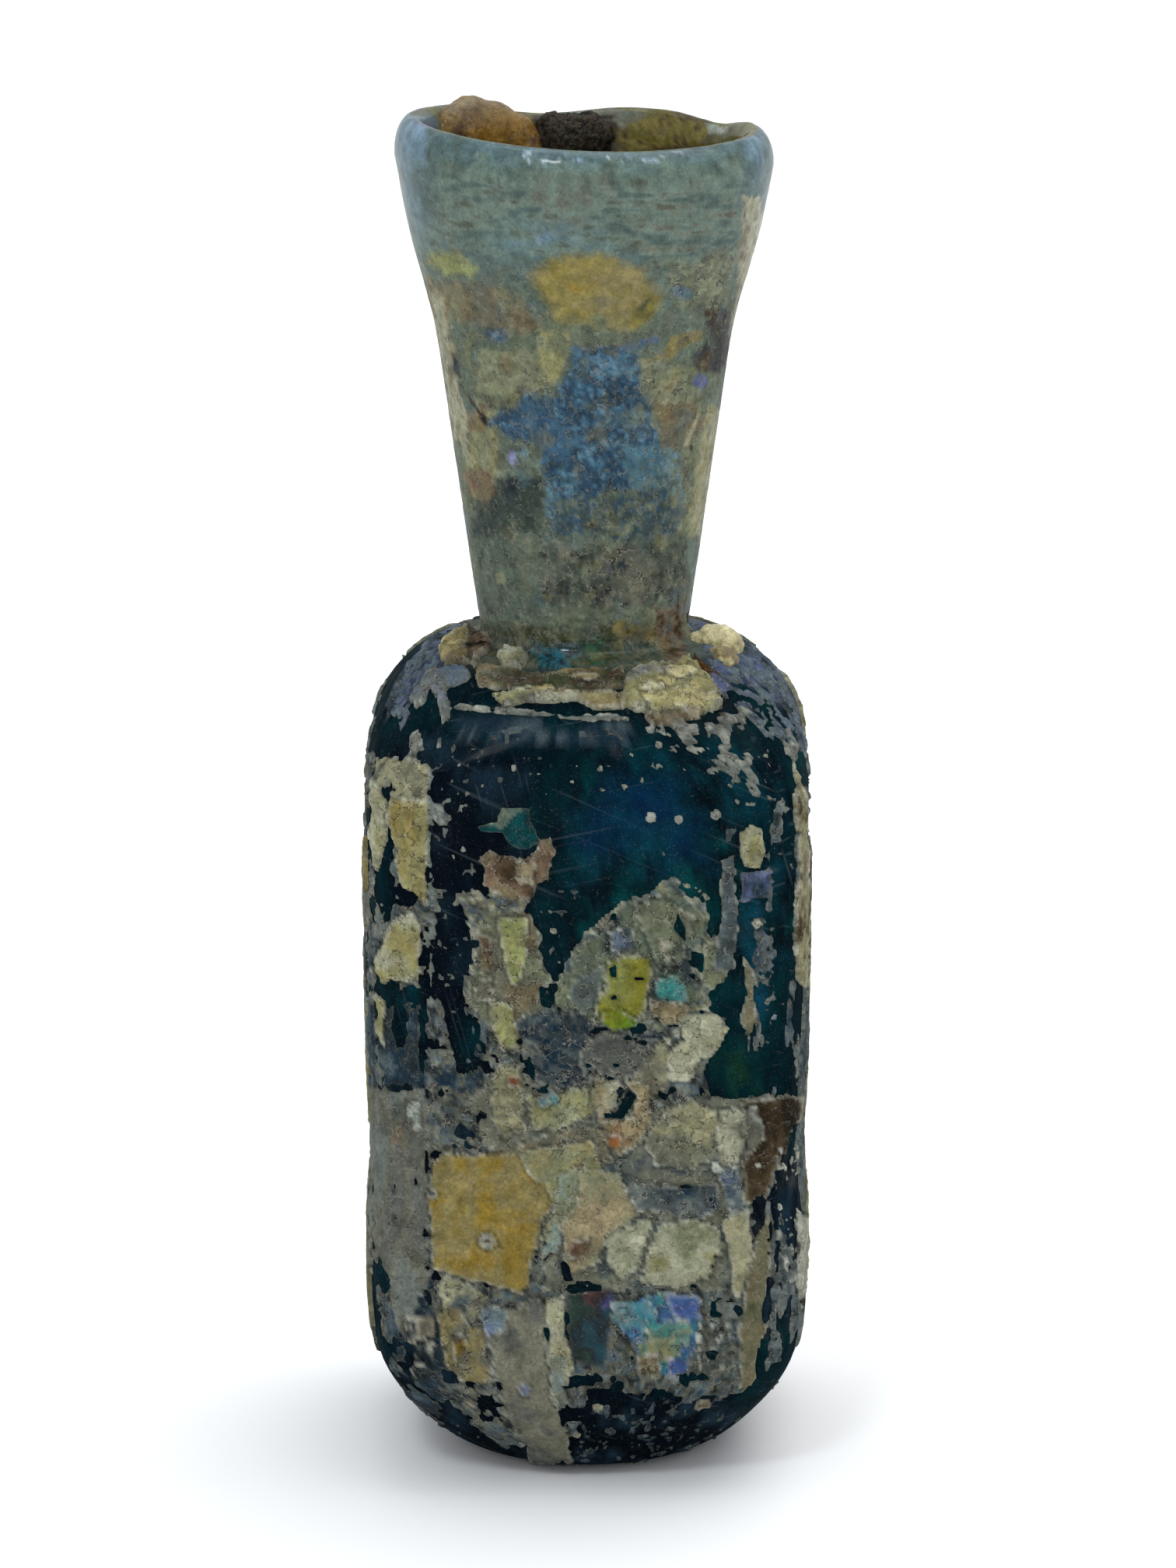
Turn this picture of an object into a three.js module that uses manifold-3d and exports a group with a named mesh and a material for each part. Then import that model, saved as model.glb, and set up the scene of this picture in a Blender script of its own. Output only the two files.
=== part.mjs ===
// A small hand-blown glass unguentarium: a square body with soft corners, a round rolled shoulder and a tall
// neck that flares like a funnel to a thick, fire-rounded lip. It is one piece of glass, hollow from the mouth
// to the base, with the crust of long burial and the soil in its mouth grown fast to it.
// Millimetres, +Z up. The origin is the middle of the foot, on the surface that the bottle stands on, and
// the flat front of the body looks along -Y.
import * as THREE from 'three';
import { mergeVertices } from 'three/addons/utils/BufferGeometryUtils.js';
import Module from 'manifold-3d';

// Heights
const lipHeight = 69.8; // foot to the crest of the lip, taken all round
const bodyHeight = 43.5; // foot to the top of the shoulder, where the neck stands on it

// Body
const bodyWidth = 23.0; // flat to flat
const cornerRadius = 4.0; // of the four soft upright corners
const shoulderRoll = 6.8; // height of the roll from the side of the body to the neck
const baseEdgeHeight = 10.6; // how far up the side the round of the base reaches
const footRadius = 6.0; // the flat disc that the bottle stands on

// Neck and lip
const neckFootRadius = 5.4;
const neckFilletRadius = 0.7;
const lipOuterRadius = 9.65; // the widest ring, just under the lip
const lipThickness = 1.9;
const lipRoundHeight = 1.7; // crest of the lip above its widest ring

// Glass
const bodyWall = 1.4;
const baseWall = 2.2;
const neckWall = 1.5;

// How the hand-made form strays from a turned one
const neckShift = -0.16; // the neck stands this far off the body's middle, along X
const waistHeight = 18.6; // a faint pinch right round the body
const waistReach = 3.4;
const waistDepth = 0.2;
const lipTilt = 0.35; // the lip is this much higher at the left and lower at the right
const lipWave = 0.15; // and this much lower at the front and back than at the sides
const lipStrayReach = 9; // its stray heights fade out this far below it
// Low places in the lip: the angle they lie at, from +X towards +Y, and half their spread, both in degrees
const lipDips = [
  { angle: 38, spread: 24, depth: 0.4 },
  { angle: 106, spread: 34, depth: 0.5 },
];

// Facets
const turnSegments = 56; // a whole number to each eighth of a turn, so that the corners fall on one

const degree = Math.PI / 180;
const halfBody = bodyWidth / 2;

function smooth(low, high, value) {
  return THREE.MathUtils.smoothstep(value, low, high);
}

// The outside in section, from the middle of the base to the widest ring under the lip
function outerSection() {
  const shoulderStart = bodyHeight - shoulderRoll;
  const neckEdge = neckFootRadius + neckFilletRadius;
  const neckBottom = bodyHeight + neckFilletRadius;
  const lipWidest = lipHeight - lipRoundHeight;

  const foot = new THREE.LineCurve(new THREE.Vector2(0, 0), new THREE.Vector2(footRadius, 0));
  const baseEdge = new THREE.EllipseCurve(
    footRadius, baseEdgeHeight, halfBody - footRadius, baseEdgeHeight, -Math.PI / 2, 0,
  );
  const side = new THREE.LineCurve(
    new THREE.Vector2(halfBody, baseEdgeHeight), new THREE.Vector2(halfBody, shoulderStart),
  );
  const shoulder = new THREE.EllipseCurve(
    neckEdge, shoulderStart, halfBody - neckEdge, shoulderRoll, 0, Math.PI / 2,
  );
  const neckFillet = new THREE.EllipseCurve(
    neckEdge, neckBottom, neckFilletRadius, neckFilletRadius, -Math.PI / 2, -Math.PI, true,
  );
  // The neck's flare: share of its height, and share of the way from its foot to the lip
  const flare = [[0, 0], [0.17, 0.14], [0.45, 0.36], [0.66, 0.54], [0.85, 0.83], [1, 1]];
  const neck = new THREE.SplineCurve(flare.map(([up, out]) => new THREE.Vector2(
    THREE.MathUtils.lerp(neckFootRadius, lipOuterRadius, out),
    THREE.MathUtils.lerp(neckBottom, lipWidest, up),
  )));

  const stretches = [[foot, 2], [baseEdge, 7], [side, 7], [shoulder, 6], [neckFillet, 2], [neck, 10]];
  return stretches.flatMap(([curve, steps]) => curve.getPoints(steps));
}

// The glass is thick in the base, thin in the body, and thickest in the lip
function wallAt(height) {
  const low = THREE.MathUtils.lerp(baseWall, bodyWall, smooth(0, baseEdgeHeight, height));
  const middle = THREE.MathUtils.lerp(low, neckWall, smooth(bodyHeight - shoulderRoll, bodyHeight, height));
  return THREE.MathUtils.lerp(middle, lipThickness, smooth(lipHeight - 6 * lipRoundHeight, lipHeight, height));
}

// The inside follows the outside at the wall's thickness, measured square to it
function innerSection(outer) {
  return outer.map((point, index) => {
    const before = outer[Math.max(index - 1, 0)];
    const after = outer[Math.min(index + 1, outer.length - 1)];
    const along = after.clone().sub(before).normalize();
    const wall = wallAt(point.y);
    return new THREE.Vector2(Math.max(point.x - along.y * wall, 0), point.y + along.x * wall);
  });
}

// Drops points that crowd the one before, so that no ring of facets is a sliver
function thinned(points, spacing) {
  const kept = [points[0]];
  for (const point of points.slice(1)) {
    if (point.distanceTo(kept[kept.length - 1]) > spacing) kept.push(point);
  }
  return kept;
}

function wholeSection() {
  const outer = thinned(outerSection(), 0.15);
  const inner = thinned(innerSection(outer).reverse(), 0.6);
  inner[inner.length - 1].x = 0;

  const from = outer[outer.length - 1];
  const to = inner[0];
  const lip = new THREE.EllipseCurve(
    (from.x + to.x) / 2, (from.y + to.y) / 2, (from.x - to.x) / 2, lipRoundHeight, 0, Math.PI,
  );
  return [...outer, ...lip.getPoints(7).slice(1, -1), ...inner];
}

// Half the length of the flat on each side of a ring: none in the base, the neck and the lip, full in the body
function flatAt(height) {
  const rising = smooth(0, baseEdgeHeight * 0.75, height);
  const falling = 1 - smooth(bodyHeight - shoulderRoll, bodyHeight, height);
  return (halfBody - cornerRadius) * rising * falling;
}

// Turns a point of a round ring into the same point of a ring with soft corners and gently bowed sides
function squared(radius, turn, flat) {
  const quarter = Math.PI / 2;
  const side = Math.round(turn / quarter);
  const share = (turn - side * quarter) / (quarter / 2);
  const flatness = 1 + 1.6 * (flat / halfBody);
  const lean = Math.sign(share) * Math.abs(share) ** flatness * (quarter / 2);
  const corner = radius - flat;
  const out = flat + corner * Math.cos(lean);
  const across = flat * share * (2 - Math.abs(share)) + corner * Math.sin(lean);
  return new THREE.Vector2(out, across).rotateAround(new THREE.Vector2(), side * quarter);
}

function lipStray(turn) {
  const dips = lipDips.reduce((sum, { angle, spread, depth }) => {
    const away = THREE.MathUtils.euclideanModulo(turn / degree - angle + 180, 360) - 180;
    return sum + depth * (1 - smooth(0, spread, Math.abs(away)));
  }, 0);
  return lipWave * Math.cos(2 * turn) - lipTilt * Math.cos(turn) - dips;
}

// Takes the turned form to the hand-made one
function shapeByHand(geometry) {
  const position = geometry.attributes.position;
  for (let i = 0; i < position.count; i += 1) {
    const turn = Math.atan2(position.getY(i), position.getX(i));
    const height = position.getZ(i);
    const radius = Math.hypot(position.getX(i), position.getY(i));
    const flat = Math.min(flatAt(height), radius * 0.8);
    const pinch = waistDepth * Math.exp(-(((height - waistHeight) / waistReach) ** 2));
    const point = squared(radius, turn, flat);
    point.multiplyScalar(1 - pinch / halfBody);
    point.x += neckShift * smooth(bodyHeight - shoulderRoll, bodyHeight, height);
    const stray = lipStray(turn) * smooth(lipHeight - lipStrayReach, lipHeight, height);
    position.setXYZ(i, point.x, point.y, height + stray);
  }
}

function vessel() {
  const geometry = new THREE.LatheGeometry(wholeSection(), turnSegments);
  geometry.rotateX(Math.PI / 2);
  shapeByHand(geometry);
  return geometry;
}

// A rough lump of crust: a ball stretched to its sizes, with knobs from a few crossing waves
function lump({ turn, radius, height, along, through, tall, seed }) {
  const geometry = new THREE.IcosahedronGeometry(0.5, 2);
  const position = geometry.attributes.position;
  for (let i = 0; i < position.count; i += 1) {
    const point = new THREE.Vector3().fromBufferAttribute(position, i);
    const knobs = Math.sin(9 * point.x + seed) * Math.sin(8 * point.y + 2 * seed) * Math.sin(10 * point.z + 3 * seed);
    point.multiplyScalar(1 + 0.22 * knobs);
    position.setXYZ(i, point.x, point.y, point.z);
  }
  geometry.scale(through, along, tall);
  geometry.translate(radius, 0, height);
  geometry.rotateZ(turn * degree);
  geometry.translate(neckShift, 0, 0);
  return geometry;
}

const lipInside = lipOuterRadius - lipThickness;
const lumps = [
  // the orange crust that climbs over the lip at the back left, and runs on down the inside
  { turn: 136, radius: lipInside + 0.5, height: lipHeight - 0.7, along: 4.3, through: 2.2, tall: 3.7, seed: 0.4 },
  { turn: 124, radius: lipInside + 0.2, height: lipHeight - 1.5, along: 3.2, through: 1.7, tall: 3.0, seed: 1.7 },
  { turn: 150, radius: lipInside + 0.2, height: lipHeight - 1.2, along: 3.2, through: 1.7, tall: 3.2, seed: 2.9 },
  // the dark soil on the inside of the back
  { turn: 105, radius: lipInside - 0.2, height: lipHeight - 1.9, along: 2.3, through: 2.0, tall: 2.9, seed: 3.3 },
  { turn: 89, radius: lipInside - 0.2, height: lipHeight - 1.9, along: 2.4, through: 2.0, tall: 2.8, seed: 4.1 },
  // the pale lump of crust that stands off the shoulder beside the neck
  { turn: -14, radius: neckFootRadius + 1.5, height: bodyHeight - 0.1, along: 2.1, through: 2.9, tall: 1.7, seed: 5.2 },
  { turn: -26, radius: neckFootRadius + 2.3, height: bodyHeight - 0.5, along: 1.7, through: 1.9, tall: 1.4, seed: 6.0 },
];

const wasm = await Module();
wasm.setup();

function solidOf(geometry) {
  geometry.deleteAttribute('normal');
  geometry.deleteAttribute('uv');
  const merged = mergeVertices(geometry, 1e-4);
  const index = merged.index.array;
  const kept = [];
  for (let i = 0; i < index.length; i += 3) {
    const [a, b, c] = [index[i], index[i + 1], index[i + 2]];
    if (a !== b && b !== c && c !== a) kept.push(a, b, c);
  }
  return new wasm.Manifold(new wasm.Mesh({
    numProp: 3,
    vertProperties: new Float32Array(merged.attributes.position.array),
    triVerts: new Uint32Array(kept),
  }));
}

function geometryOf(solid) {
  const mesh = solid.getMesh();
  const geometry = new THREE.BufferGeometry();
  geometry.setAttribute('position', new THREE.BufferAttribute(new Float32Array(mesh.vertProperties), 3));
  geometry.setIndex(new THREE.BufferAttribute(new Uint32Array(mesh.triVerts), 1));
  geometry.computeVertexNormals();
  return geometry;
}

function bottle() {
  const solid = lumps.reduce((whole, place) => whole.add(solidOf(lump(place))), solidOf(vessel()));
  const glass = new THREE.MeshStandardMaterial({ color: 0x24464a, roughness: 0.3, metalness: 0 });
  const mesh = new THREE.Mesh(geometryOf(solid), glass);
  mesh.name = 'bottle';
  return mesh;
}

const unguentarium = new THREE.Group();
unguentarium.add(bottle());

export default unguentarium;
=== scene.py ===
import math

import bpy

import numpy as np
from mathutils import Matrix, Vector


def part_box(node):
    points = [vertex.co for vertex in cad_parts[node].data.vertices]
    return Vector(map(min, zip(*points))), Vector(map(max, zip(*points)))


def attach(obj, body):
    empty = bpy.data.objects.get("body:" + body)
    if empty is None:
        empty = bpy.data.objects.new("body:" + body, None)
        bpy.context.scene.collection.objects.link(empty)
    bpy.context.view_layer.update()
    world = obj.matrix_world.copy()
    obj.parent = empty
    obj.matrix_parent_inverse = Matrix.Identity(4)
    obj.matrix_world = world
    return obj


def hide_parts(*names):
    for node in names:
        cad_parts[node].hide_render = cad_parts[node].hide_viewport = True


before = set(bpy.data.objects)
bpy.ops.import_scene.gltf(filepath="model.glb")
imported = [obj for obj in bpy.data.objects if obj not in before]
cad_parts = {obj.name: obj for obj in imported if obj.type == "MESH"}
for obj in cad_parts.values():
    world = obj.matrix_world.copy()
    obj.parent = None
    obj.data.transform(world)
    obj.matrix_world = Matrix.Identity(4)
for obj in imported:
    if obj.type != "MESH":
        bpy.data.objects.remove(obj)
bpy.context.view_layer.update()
nodeLow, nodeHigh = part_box("bottle")
print("Frame loaded: the bottle's box is", [round(v * 1000, 1) for v in nodeHigh - nodeLow], "mm")

mm = 0.001

# The photograph's viewpoint: places on the bottle's front are given as pixels of it
photo = {
    "width": 1512, "height": 2016,
    "middle": (755, 1008),   # pixel that looks at the aim
    "focal": 7600,           # pixels
    "pitch": 14,             # degrees down
    "distance": 309,         # mm from the aim
    "aim": 35.4,             # mm up the bottle's axis
    "pixelsPerMm": 25,       # at the bottle's front
    "grazing": 0.04,         # a place that faces the eye less than this isn't judged by the photograph
}

# The vessel, in mm, as the frame's own solid has it
vessel = {
    "width": round((nodeHigh.x - nodeLow.x) / mm, 1), "bodyHeight": 43.5, "cornerRadius": 4.0,
    "shoulderRoll": 6.8, "baseEdge": 10.6, "footRadius": 6.0,
    "neckFoot": 5.4, "neckFillet": 0.7,
    "lipHeight": 69.8, "lipRadius": 9.65, "lipThickness": 1.9, "lipRound": 1.7,
    "bodyWall": 1.4, "baseWall": 2.2, "neckWall": 1.5,
    "flare": [(0, 0), (0.17, 0.14), (0.45, 0.36), (0.66, 0.54), (0.85, 0.83), (1, 1)],
    "neckShift": -0.16, "waistHeight": 18.6, "waistReach": 3.4, "waistDepth": 0.2,
    "lipTilt": 0.35, "lipWave": 0.15, "lipReach": 9, "lipDips": [(38, 24, 0.4), (106, 34, 0.5)],
    "flatStart": 0.75,       # share of the base edge's height where the flats are full
    "flatLimit": 0.8,        # share of the radius that the flats may take
    "flatness": 1.6,         # how flat the sides are between their corners
    "steps": (5, 22, 34, 16, 7, 180), "columns": 256, "crowding": 0.42,
    "inset": 0.1,            # the bare glass lies this far in, so that its crust can stand proud of it
}


def smooth(low, high, value):
    share = np.clip((value - low) / (high - low), 0, 1)
    return share * share * (3 - 2 * share)


def mix(first, second, share):
    return first * (1 - share) + second * share


def tidyUp():
    if bpy.context.object and bpy.context.object.mode != "OBJECT":
        bpy.ops.object.mode_set(mode="OBJECT")
    bpy.ops.object.select_all(action="DESELECT")


def arc(middle, across, up, start, end, steps):
    turn = np.radians(np.linspace(start, end, steps + 1))
    return [(middle[0] + across * math.cos(t), middle[1] + up * math.sin(t)) for t in turn]


def line(start, end, steps):
    return [tuple(np.array(start) + (np.array(end) - start) * s) for s in np.linspace(0, 1, steps + 1)]


# A smooth curve through the points given
def throughPoints(points, steps):
    points = np.array(points, float)
    spots = []
    for s in np.linspace(0, len(points) - 1, steps + 1):
        i = min(int(s), len(points) - 2)
        t = s - i
        a, b = points[max(i - 1, 0)], points[i]
        c, d = points[i + 1], points[min(i + 2, len(points) - 1)]
        bend = 2 * a - 5 * b + 4 * c - d
        spots.append(tuple(0.5 * (2 * b + (c - a) * t + bend * t * t + (3 * b - a - 3 * c + d) * t ** 3)))
    return spots


# The outside in section, from the middle of the foot to the widest ring of the lip
def outerSection(steps):
    v = vessel
    half = v["width"] / 2
    start = v["bodyHeight"] - v["shoulderRoll"]
    edge = v["neckFoot"] + v["neckFillet"]
    bottom = v["bodyHeight"] + v["neckFillet"]
    widest = v["lipHeight"] - v["lipRound"]
    neck = [(v["neckFoot"] + (v["lipRadius"] - v["neckFoot"]) * out, bottom + (widest - bottom) * up)
            for up, out in v["flare"]]
    foot, base, side, shoulder, fillet, flare = steps
    return (line((0, 0), (v["footRadius"], 0), foot)[:-1]
            + arc((v["footRadius"], v["baseEdge"]), half - v["footRadius"], v["baseEdge"], -90, 0, base)[:-1]
            + line((half, v["baseEdge"]), (half, start), side)[:-1]
            + arc((edge, start), half - edge, v["shoulderRoll"], 0, 90, shoulder)[:-1]
            + arc((edge, bottom), v["neckFillet"], v["neckFillet"], -90, -180, fillet)[:-1]
            + throughPoints(neck, flare))


# Thickness of the glass, which changes softly from base to body, neck and lip
def wallAt(height):
    v = vessel
    low = v["baseWall"] + (v["bodyWall"] - v["baseWall"]) * smooth(0, v["baseEdge"], height)
    neckShare = smooth(v["bodyHeight"] - v["shoulderRoll"], v["bodyHeight"], height)
    lipShare = smooth(v["lipHeight"] - 6 * v["lipRound"], v["lipHeight"], height)
    middle = low + (v["neckWall"] - low) * neckShare
    return middle + (v["lipThickness"] - middle) * lipShare


def innerSection(outer, wall=None):
    spots = np.array(outer)
    along = np.gradient(spots, axis=0)
    along /= np.linalg.norm(along, axis=1)[:, None]
    wall = wallAt(spots[:, 1]) if wall is None else wall
    inner = np.stack([spots[:, 0] - along[:, 1] * wall, spots[:, 1] + along[:, 0] * wall], 1)
    inner[:, 0] = np.maximum(inner[:, 0], 0)
    return [tuple(p) for p in inner]


# Half the width of a side's flat at this height
def flatAt(height):
    v = vessel
    rising = smooth(0, v["baseEdge"] * v["flatStart"], height)
    falling = 1 - smooth(v["bodyHeight"] - v["shoulderRoll"], v["bodyHeight"], height)
    return (v["width"] / 2 - v["cornerRadius"]) * rising * falling


# Takes a turned form, in mm, to the hand-made one: soft square body, faint waist, leaning neck, uneven lip
def shapeByHand(places):
    v = vessel
    half, quarter = v["width"] / 2, math.pi / 2
    turn = np.arctan2(places[:, 1], places[:, 0])
    height = places[:, 2]
    radius = np.hypot(places[:, 0], places[:, 1])
    flat = np.minimum(flatAt(height), radius * v["flatLimit"])
    side = np.round(turn / quarter)
    share = (turn - side * quarter) / (quarter / 2)
    lean = np.sign(share) * np.abs(share) ** (1 + v["flatness"] * flat / half) * quarter / 2
    out = flat + (radius - flat) * np.cos(lean)
    across = flat * share * (2 - np.abs(share)) + (radius - flat) * np.sin(lean)
    pinch = 1 - v["waistDepth"] * np.exp(-((height - v["waistHeight"]) / v["waistReach"]) ** 2) / half
    start = v["bodyHeight"] - v["shoulderRoll"]
    x = (out * np.cos(side * quarter) - across * np.sin(side * quarter)) * pinch
    x += v["neckShift"] * smooth(start, v["bodyHeight"], height)
    y = (out * np.sin(side * quarter) + across * np.cos(side * quarter)) * pinch
    stray = v["lipWave"] * np.cos(2 * turn) - v["lipTilt"] * np.cos(turn)
    for angle, spread, depth in v["lipDips"]:
        away = (np.degrees(turn) - angle + 180) % 360 - 180
        stray -= depth * (1 - smooth(0, spread, np.abs(away)))
    z = height + stray * smooth(v["lipHeight"] - v["lipReach"], v["lipHeight"], height)
    return np.stack([x, y, z], 1)


def placesOf(piece):
    spots = np.empty(len(piece.data.vertices) * 3)
    piece.data.vertices.foreach_get("co", spots)
    return spots.reshape(-1, 3) / mm


def normalsOf(piece):
    ways = np.empty(len(piece.data.vertices) * 3, np.float32)
    piece.data.vertex_normals.foreach_get("vector", ways)
    return ways.reshape(-1, 3).astype(float)


def putPlaces(piece, places):
    piece.data.vertices.foreach_set("co", (places * mm).ravel())
    piece.data.update()


# Draws a section vertex by vertex and spins it into a shell whose columns crowd towards the front
def spunShell(name, section, columns, crowding):
    tidyUp()
    bpy.ops.mesh.primitive_plane_add(size=mm, location=(0, 0, 0))
    piece = bpy.context.object
    piece.name = piece.data.name = name
    bpy.ops.object.mode_set(mode="EDIT")
    bpy.ops.mesh.select_all(action="SELECT")
    bpy.ops.mesh.merge(type="CENTER")
    bpy.ops.transform.translate(value=(section[0][0] * mm, 0, section[0][1] * mm))
    for before, after in zip(section, section[1:]):
        step = ((after[0] - before[0]) * mm, 0, (after[1] - before[1]) * mm)
        bpy.ops.mesh.extrude_region_move(TRANSFORM_OT_translate={"value": step})
    bpy.ops.mesh.select_all(action="SELECT")
    bpy.ops.mesh.spin(steps=columns, angle=2 * math.pi, center=(0, 0, 0), axis=(0, 0, 1))
    bpy.ops.mesh.select_all(action="SELECT")
    bpy.ops.mesh.remove_doubles(threshold=0.002 * mm)
    bpy.ops.mesh.normals_make_consistent(inside=False)
    bpy.ops.object.mode_set(mode="OBJECT")
    places = placesOf(piece)
    radius = np.hypot(places[:, 0], places[:, 1])
    widest = np.argmax(radius)
    if normalsOf(piece)[widest] @ (places[widest] * (1, 1, 0)) < 0:
        bpy.ops.object.mode_set(mode="EDIT")
        bpy.ops.mesh.flip_normals()
        bpy.ops.object.mode_set(mode="OBJECT")
    bpy.ops.object.shade_smooth()
    turn = np.arctan2(places[:, 1], places[:, 0])
    turn = turn - crowding * np.sin(turn + math.pi / 2)
    places[:, 0] = radius * np.cos(turn)
    places[:, 1] = radius * np.sin(turn)
    putPlaces(piece, places)
    return piece


# Whole numbers that stir a cell's place and the seed into chance
stirring = {"x": 374761393, "y": 668265263, "z": 1103515245, "seed": 97531, "again": 1274126177}
wholeWord = 0xFFFFFFFF


# Soft random heights from -1 to 1, the same on every run
def grain(places, size, seed):
    cell = places / size
    low = np.floor(cell).astype(np.int64)
    part = cell - low
    part = part * part * (3 - 2 * part)
    total = np.zeros(len(places))
    for corner in range(8):
        step = np.array([corner & 1, corner >> 1 & 1, corner >> 2 & 1])
        weight = np.prod(np.where(step == 1, part, 1 - part), axis=1)
        spot = low + step
        stirred = spot[:, 0] * stirring["x"] + spot[:, 1] * stirring["y"] + spot[:, 2] * stirring["z"]
        stirred = (stirred + seed * stirring["seed"]) & wholeWord
        stirred = ((stirred ^ (stirred >> 13)) * stirring["again"]) & wholeWord
        stirred = stirred ^ (stirred >> 16)
        total += weight * (stirred / (wholeWord / 2) - 1)
    return total


# Grains of halving size laid over one another, each weaker than the last
def cloud(places, size, seed, octaves=3):
    weaker = 0.55
    total = sum(grain(places, size / 2 ** k, seed + 31 * k) * weaker ** k for k in range(octaves))
    return total / sum(weaker ** k for k in range(octaves))


# Across and down in the photograph, and the way from each place to the eye
def toPhoto(places):
    pitch = math.radians(photo["pitch"])
    back = np.array([0, -math.cos(pitch), math.sin(pitch)])
    up = np.array([0, math.sin(pitch), math.cos(pitch)])
    eye = np.array([0, 0, photo["aim"]]) + back * photo["distance"]
    ray = places - eye
    depth = -ray @ back
    across = photo["middle"][0] + photo["focal"] * ray[:, 0] / depth
    down = photo["middle"][1] - photo["focal"] * (ray @ up) / depth
    return across, down, -ray / np.linalg.norm(ray, axis=1)[:, None]


# How far each place lies inside an outline, in pixels of the photograph; outside is negative
def depthInside(across, down, outline):
    inside = np.zeros(len(across), bool)
    nearest = np.full(len(across), 1e9)
    for (ax, ay), (bx, by) in zip(outline, outline[1:] + outline[:1]):
        ex, ey = bx - ax, by - ay
        t = np.clip(((across - ax) * ex + (down - ay) * ey) / (ex * ex + ey * ey), 0, 1)
        nearest = np.minimum(nearest, np.hypot(across - ax - t * ex, down - ay - t * ey))
        if ey:
            inside ^= ((ay > down) != (by > down)) & (across < ax + (down - ay) * ex / ey)
    return np.where(inside, nearest, -nearest)


# Colours as the photograph shows them, red, green and blue up to 255
palette = {
    "navy": (4, 12, 20), "slate": (23, 42, 54), "teal": (6, 52, 62), "tealDark": (2, 34, 39),
    "tealBright": (4, 62, 64), "blueDeep": (3, 28, 60), "seaGreen": (70, 104, 92), "blueTeal": (18, 58, 82),
    "bottleGreen": (14, 46, 34), "smoke": (70, 78, 78), "smokeLight": (104, 110, 104),
    "smokeDark": (44, 52, 54), "haze": (78, 92, 97), "cream": (143, 140, 108), "creamPale": (158, 158, 134),
    "chalk": (176, 178, 164), "bright": (238, 234, 206), "gold": (126, 111, 58), "goldDeep": (134, 112, 46),
    "goldPale": (130, 120, 80), "ochre": (135, 122, 72), "straw": (136, 133, 92), "khaki": (122, 126, 98),
    "yellowGreen": (126, 132, 80), "lime": (118, 117, 42), "leaf": (78, 122, 22), "paleGreen": (104, 110, 86),
    "greyGreen": (88, 98, 84), "turquoise": (44, 120, 116), "paleBlue": (104, 124, 122),
    "blueGrey": (88, 101, 116), "blue": (52, 84, 132), "violet": (66, 62, 122), "lavender": (108, 112, 128),
    "pink": (142, 118, 92), "pinkCream": (140, 128, 98), "rust": (124, 74, 30), "maroon": (70, 38, 34),
    "brown": (66, 54, 38), "brownDark": (36, 30, 22), "tan": (108, 98, 74), "olive": (66, 70, 46),
    "oliveTan": (104, 102, 78), "greyTan": (96, 96, 82), "flatGrey": (80, 83, 77), "grey": (90, 92, 86),
    "greyDark": (58, 62, 62), "lipGreen": (101, 119, 107), "lipBlue": (90, 116, 122), "lipDark": (70, 88, 82),
    "amber": (124, 92, 34), "amberDark": (78, 48, 18), "soil": (62, 55, 40), "soilDark": (20, 18, 14),
    "oliveGlass": (100, 94, 44), "neckGreen": (80, 93, 80), "neckBrown": (93, 95, 80),
    "neckBlue": (60, 92, 114), "slateBlue": (42, 68, 88), "bluePale": (84, 118, 120),
    "lipLavender": (112, 138, 158), "goldNeck": (134, 122, 62), "amberBright": (150, 112, 40),
    "emerald": (36, 88, 56), "cyanBlue": (92, 132, 150), "slateDark": (30, 48, 60),
    "lavenderBright": (140, 142, 188), "creamGold": (176, 166, 118), "whiteGold": (218, 208, 164),
    "neckDark": (56, 68, 60), "periwinkle": (92, 100, 132), "pinkBrown": (112, 92, 74),
    "tealGlint": (36, 104, 118), "greyGold": (122, 108, 76), "glint": (176, 196, 204),
    "greyCream": (116, 115, 98), "khakiGrey": (104, 106, 90), "pinkRust": (128, 92, 62),
}
lightLevel = 1.17    # what the studio light gives back of a white wall, seen from the camera

# Noises that edges and colours follow: stretch of the places, size in mm, seed, octaves
noises = {
    "edge": ((1, 1, 1), 1.3, 3, 4), "fine": ((1, 1, 1), 0.34, 11, 3), "broad": ((1, 1, 1), 3.2, 23, 3),
    "streak": ((1, 1, 0.22), 0.8, 41, 3), "ripple": ((0.3, 0.3, 1), 0.36, 47, 3),
    "crumb": ((1, 1, 1), 0.2, 53, 1),
}

# How stains and flakes are laid, in pixels of the photograph
brush = {
    "far": 9.0,              # a depth that is well inside or outside
    "breakUp": 12,           # depth of the specks that a patch of part cover breaks into
    "shadow": (-2, 1.6, 0.5),     # painted shadow round a flake: its place, width and strength
    "paleRimAndHighlight": (1.8, 1.6),        # pale line along its edge, partly the flake's own and partly painted highlight: its place and width
    "climb": 3,              # from its edge to its full height
    "fineRagged": 0.6,
    # rim sets the strength of a flake's painted shadow and of its pale, partly highlighted edge
    "usual": {"sort": "crust", "cover": 1, "noise": "edge", "soft": 1.5, "strength": 1, "mottle": 1.1,
              "pattern": "edge", "rim": 1, "rise": 0.07},
}

# Flakes and stains by chance
chanceShape = {
    "tall": 1.3,             # up the bottle against across it
    "cuts": 5, "cutDepth": (0.35, 0.8),   # straight breaks, as a share of the way out
    "ragged": 0.24,          # mm
}


def colour(name):
    value = np.array(palette[name]) / 255
    return np.where(value <= 0.04045, value / 12.92, ((value + 0.055) / 1.055) ** 2.4) / lightLevel


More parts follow.
